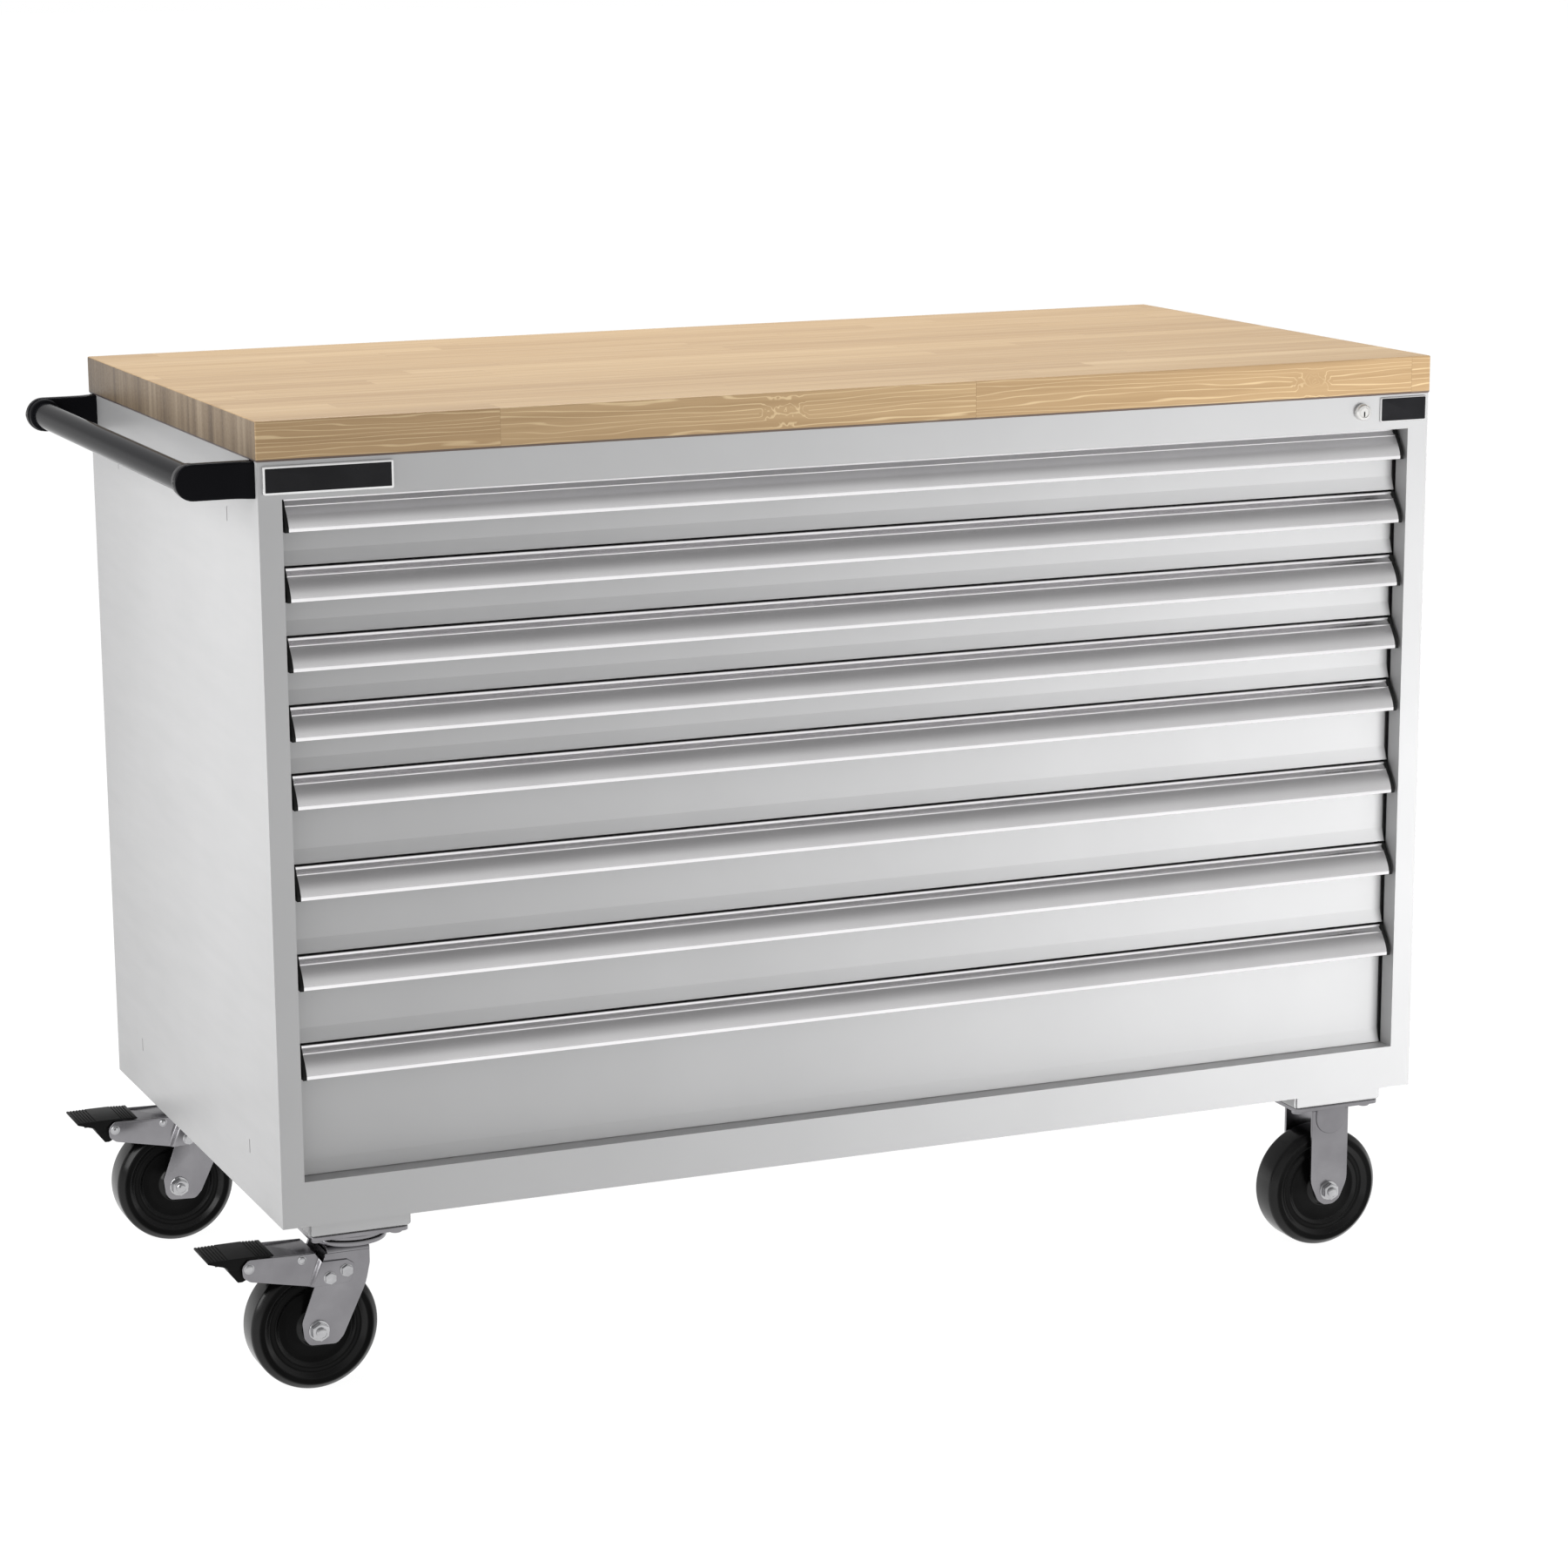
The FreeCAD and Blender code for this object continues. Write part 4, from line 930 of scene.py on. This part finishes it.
def axle_set(shape, x, z):
    """An axle bolt: head and nut on washers, stud end and the spacers beside the wheel."""
    shape.cylinder("Y", (x, 0, z), 6, -44.5, CHEEK_OUTER)
    shape.dome("Y", (x, -44.5, z), 5.4, 1.4, -1)
    shape.washer("Y", (x, -CHEEK_OUTER, z), 12.2, 1.5, -1)
    shape.hexagon("Y", (x, -35.5, z), 10.6, 6.6, -1)
    shape.washer("Y", (x, CHEEK_OUTER, z), 12.2, 1.2, 1)
    shape.hexagon("Y", (x, 35.2, z), 10.5, 5.8, 1)
    near_and_far(lambda sign: shape.turn("Y", (x, 0, z), [
        (6.05, sign * 25.7), (9.6, sign * 25.7), (10, sign * 26.1), (10, sign * 29.7),
        (9.6, sign * CHEEK_INNER), (6.05, sign * CHEEK_INNER),
    ], 48, ring=True))


def caster_bolts(place):
    """The axle, the arm's two rivets and the bolts of its tabs."""
    node = f"{place}_bolts"
    shape = Shape(SWIVEL_X, joint_place(f"{place}_swivel").y, PLATE_LOW)
    axle_set(shape, LEAD, AXLE_DROP)
    for x, z, radius in ((-124, -28.3, 4), (-63, -26, 3)):
        shape.cylinder("Y", (x, 0, z), radius, -30, 30, 0)
        near_and_far(lambda sign: shape.washer("Y", (x, sign * 30, z), radius + 2, 0.8, sign))
        near_and_far(lambda sign: shape.dome("Y", (x, sign * 30.7, z), radius + 1, 1.8, sign))
    for x, z in ((-13.5, -41.6), (-33, -48.2)):
        near_and_far(lambda sign: shape.washer("Y", (x, sign * 37, z), 7.4, 0.9, sign))
        near_and_far(lambda sign: shape.hexagon("Y", (x, sign * 37.8, z), 7.0, 4.1, sign))
    shape.add(node + "_set", BOLT_ZINC, f"{place}_caster", "zinc_steel", node)


def rigid_fork(place):
    """A rigid caster's plate and straight fork, with a pressed half-round boss on each cheek."""
    shape = Shape(RIGID_X, joint_place(f"{place}_right_roll").y, PLATE_LOW)
    mounting_plate(shape)
    cheek = rounded([
        (-25.2, -6), (25.2, -6), (25.2, AXLE_DROP + 11, 30), (15, AXLE_DROP - 12, 12),
        (6, AXLE_DROP - 18, 10), (-6, AXLE_DROP - 18, 10), (-15, AXLE_DROP - 12, 12),
        (-25.2, AXLE_DROP + 11, 30),
    ])
    near_and_far(lambda sign: shape.prism(cheek, "Y", *spread_y(sign, CHEEK_INNER, CHEEK_THICK), 0.6))
    shape.prism(rounded([
        (-34, -5.9), (-34, -0.1, 5.5), (34, -0.1, 5.5), (34, -5.9),
        (30, -5.9), (30, -4, 1.8), (-30, -4, 1.8), (-30, -5.9),
    ]), "X", -25.2, 25.2, 0.4)

    boss = [(-20, -2), (20, -2)]
    boss += [
        (20 * math.cos(math.radians(-a)), -16 + 20 * math.sin(math.radians(-a)))
        for a in range(0, 181, 10)
    ]
    near_and_far(lambda sign: shape.prism(boss, "Y", *spread_y(sign, 33, 3.4), 1.4))
    shape.add(f"{place}_rigid_fork", ZINC, "cabinet", "zinc_steel", "rigid_forks")


def cabinet_fasteners():
    """Rigid axles, plate bolts with their nuts, worktop and handle screws and the lock's nut."""
    node = "cabinet_fasteners"
    for place in PLACES:
        y = joint_place(f"{place}_right_roll").y
        shape = Shape(RIGID_X, y, PLATE_LOW)
        axle_set(shape, 0, AXLE_DROP)
        shape.add(f"{place}_rigid_axle", BOLT_ZINC, "cabinet", "zinc_steel", node)
        for side, x in (("left", SWIVEL_X), ("right", RIGID_X)):
            bolts = Shape(x, y, PLATE_LOW)
            for a in (-PLATE_BOLT_X, PLATE_BOLT_X):
                for b in (-PLATE_BOLT_Y, PLATE_BOLT_Y):
                    bolts.cylinder("Z", (a, b, 0), 4.9, -0.5, 9.5)
                    bolts.washer("Z", (a, b, 0), 8.0, 1.0, -1)
                    bolts.hexagon("Z", (a, b, -1.0), 7.4, 4.6, -1)
                    bolts.hexagon("Z", (a, b, 7.5), 7.6, 6.5, 1)
            bolts.add(f"{place}_{side}_plate_bolts", ZINC, "cabinet", "zinc_steel", node)

    screws = Shape(MIDDLE.x, MIDDLE.y, BODY_TOP)
    for x in (LEFT - MIDDLE.x + 12 * MM, RIGHT - MIDDLE.x - 12 * MM):
        for step in (-230, 0, 230):
            screws.hexagon("Z", (x / MM, step, -1.5), 6.0, 3.6, -1)
    screws.add("worktop_screws", DULL_ZINC, "cabinet", "zinc_steel", node)

    low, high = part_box("push_handle")
    screws = Shape(LEFT + 1.5 * MM, MIDDLE.y, (low.z + high.z) / 2)
    for place in PLACES:
        y = (joint_place(f"{place}_swivel").y - MIDDLE.y) / MM
        for z in (-10, 10):
            screws.hexagon("X", (0, y, z), 6.0, 3.6, 1)
    screws.add("handle_screws", DULL_ZINC, "cabinet", "zinc_steel", node)

    low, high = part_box("lock_housing")
    nut = Shape((low.x + high.x) / 2, FRONT + 1.5 * MM, (low.z + high.z) / 2)
    nut.turn("Y", (0, 0, 0), [(8.2, 0.0), (12.8, 0.0), (13, 0.4), (13, 3.6), (12.4, 4), (8.2, 4)],
             48, ring=True)
    nut.add("lock_nut", DULL_ZINC, "cabinet", "zinc_steel", node)


# ---------------------------------------------------------------- the whole chest

cabinet()
caster_channels()
push_handle()
lock()
badge_plates()
for number in DRAWERS:
    tray(number)
    pull(number)
for place in PLACES:
    swivel_plate(place)
    swivel_fork(place)
    brake_arm(place)
    brake_pedal(place)
    caster_bolts(place)
    rigid_fork(place)
    wheel(place, "left")
    wheel(place, "right")
cabinet_fasteners()

# ---------------------------------------------------------------- studio


def floor():
    mesh = bmesh.new()
    bmesh.ops.create_circle(mesh, cap_ends=True, radius=60, segments=96)
    data = bpy.data.meshes.new("floor")
    mesh.to_mesh(data)
    mesh.free()
    n = Nodes("floor_white")
    data.materials.append(n.finish({
        "Base Color": (0.10, 0.10, 0.10, 1),
        "Roughness": 0.9,
        "Specular IOR Level": 0.0,
        "Emission Color": (1.0, 1.0, 1.0, 1),
        "Emission Strength": 0.97,
    }))
    thing = bpy.data.objects.new("floor", data)
    bpy.context.scene.collection.objects.link(thing)


def sky():
    """A studio dome: bright round the horizon and darker overhead."""
    world = bpy.data.worlds.new("studio")
    bpy.context.scene.world = world
    world.use_nodes = True
    tree = world.node_tree
    place = tree.nodes.new("ShaderNodeTexCoord")
    axes = tree.nodes.new("ShaderNodeSeparateXYZ")
    ramp = tree.nodes.new("ShaderNodeValToRGB")
    tree.links.new(place.outputs["Generated"], axes.inputs[0])
    tree.links.new(axes.outputs["Z"], ramp.inputs["Fac"])
    elements = ramp.color_ramp.elements
    stops = [(0.0, 1.0), (0.05, 0.95), (0.16, 0.66), (0.58, 0.60), (0.80, 0.24), (1.0, 0.16)]
    while len(elements) < len(stops):
        elements.new(0.5)
    for element, (position, value) in zip(elements, stops):
        element.position = position
        element.color = (value, value, value, 1)
    tree.links.new(ramp.outputs["Color"], tree.nodes["Background"].inputs["Color"])
    tree.nodes["Background"].inputs["Strength"].default_value = 1.0


def soft_light(name, place, target, size, power, spread=180, mirrored=True):
    data = bpy.data.lights.new(name, "AREA")
    data.shape = "RECTANGLE"
    data.size, data.size_y = size
    data.energy = power
    data.spread = math.radians(spread)
    lamp = bpy.data.objects.new(name, data)
    lamp.visible_camera = False
    lamp.visible_glossy = mirrored
    lamp.location = place
    direction = Vector(target) - Vector(place)
    lamp.rotation_euler = direction.to_track_quat("-Z", "Y").to_euler()
    bpy.context.scene.collection.objects.link(lamp)


def camera():
    yaw, pitch, roll = math.radians(22.323), math.radians(13.205), math.radians(-0.508)
    forward = Vector((
        math.sin(yaw) * math.cos(pitch), math.cos(yaw) * math.cos(pitch), -math.sin(pitch)))
    right = Vector((math.cos(yaw), -math.sin(yaw), 0))
    up = right.cross(forward)
    across = right * math.cos(roll) + up * math.sin(roll)
    upright = up * math.cos(roll) - right * math.sin(roll)
    data = bpy.data.cameras.new("camera")
    data.lens = 97.18
    data.sensor_width = 36
    data.shift_x = 0.0309
    data.shift_y = 0.0661
    data.clip_end = 200
    eye = bpy.data.objects.new("camera", data)
    turn = Matrix((across, upright, -forward)).transposed().to_4x4()
    eye.matrix_world = Matrix.Translation(MIDDLE + Vector((-1.9476, -4.6795, 1.637))) @ turn
    bpy.context.scene.collection.objects.link(eye)
    bpy.context.scene.camera = eye


floor()
sky()
soft_light("right_softbox", (1.35, -2.6, 0.35), (0.96, -0.36, 0.45), (0.9, 0.9), 23, 80, False)
soft_light("left_softbox", (-1.45, -0.22, 0.9), (-0.7, -0.2, 0.7), (0.6, 1.2), 9)
soft_light("top_softbox", (0.2, 0.9, 4.1), (0.1, 0.0, 1.0), (2.6, 1.2), 190)
camera()
bpy.context.scene.view_settings.view_transform = "Standard"
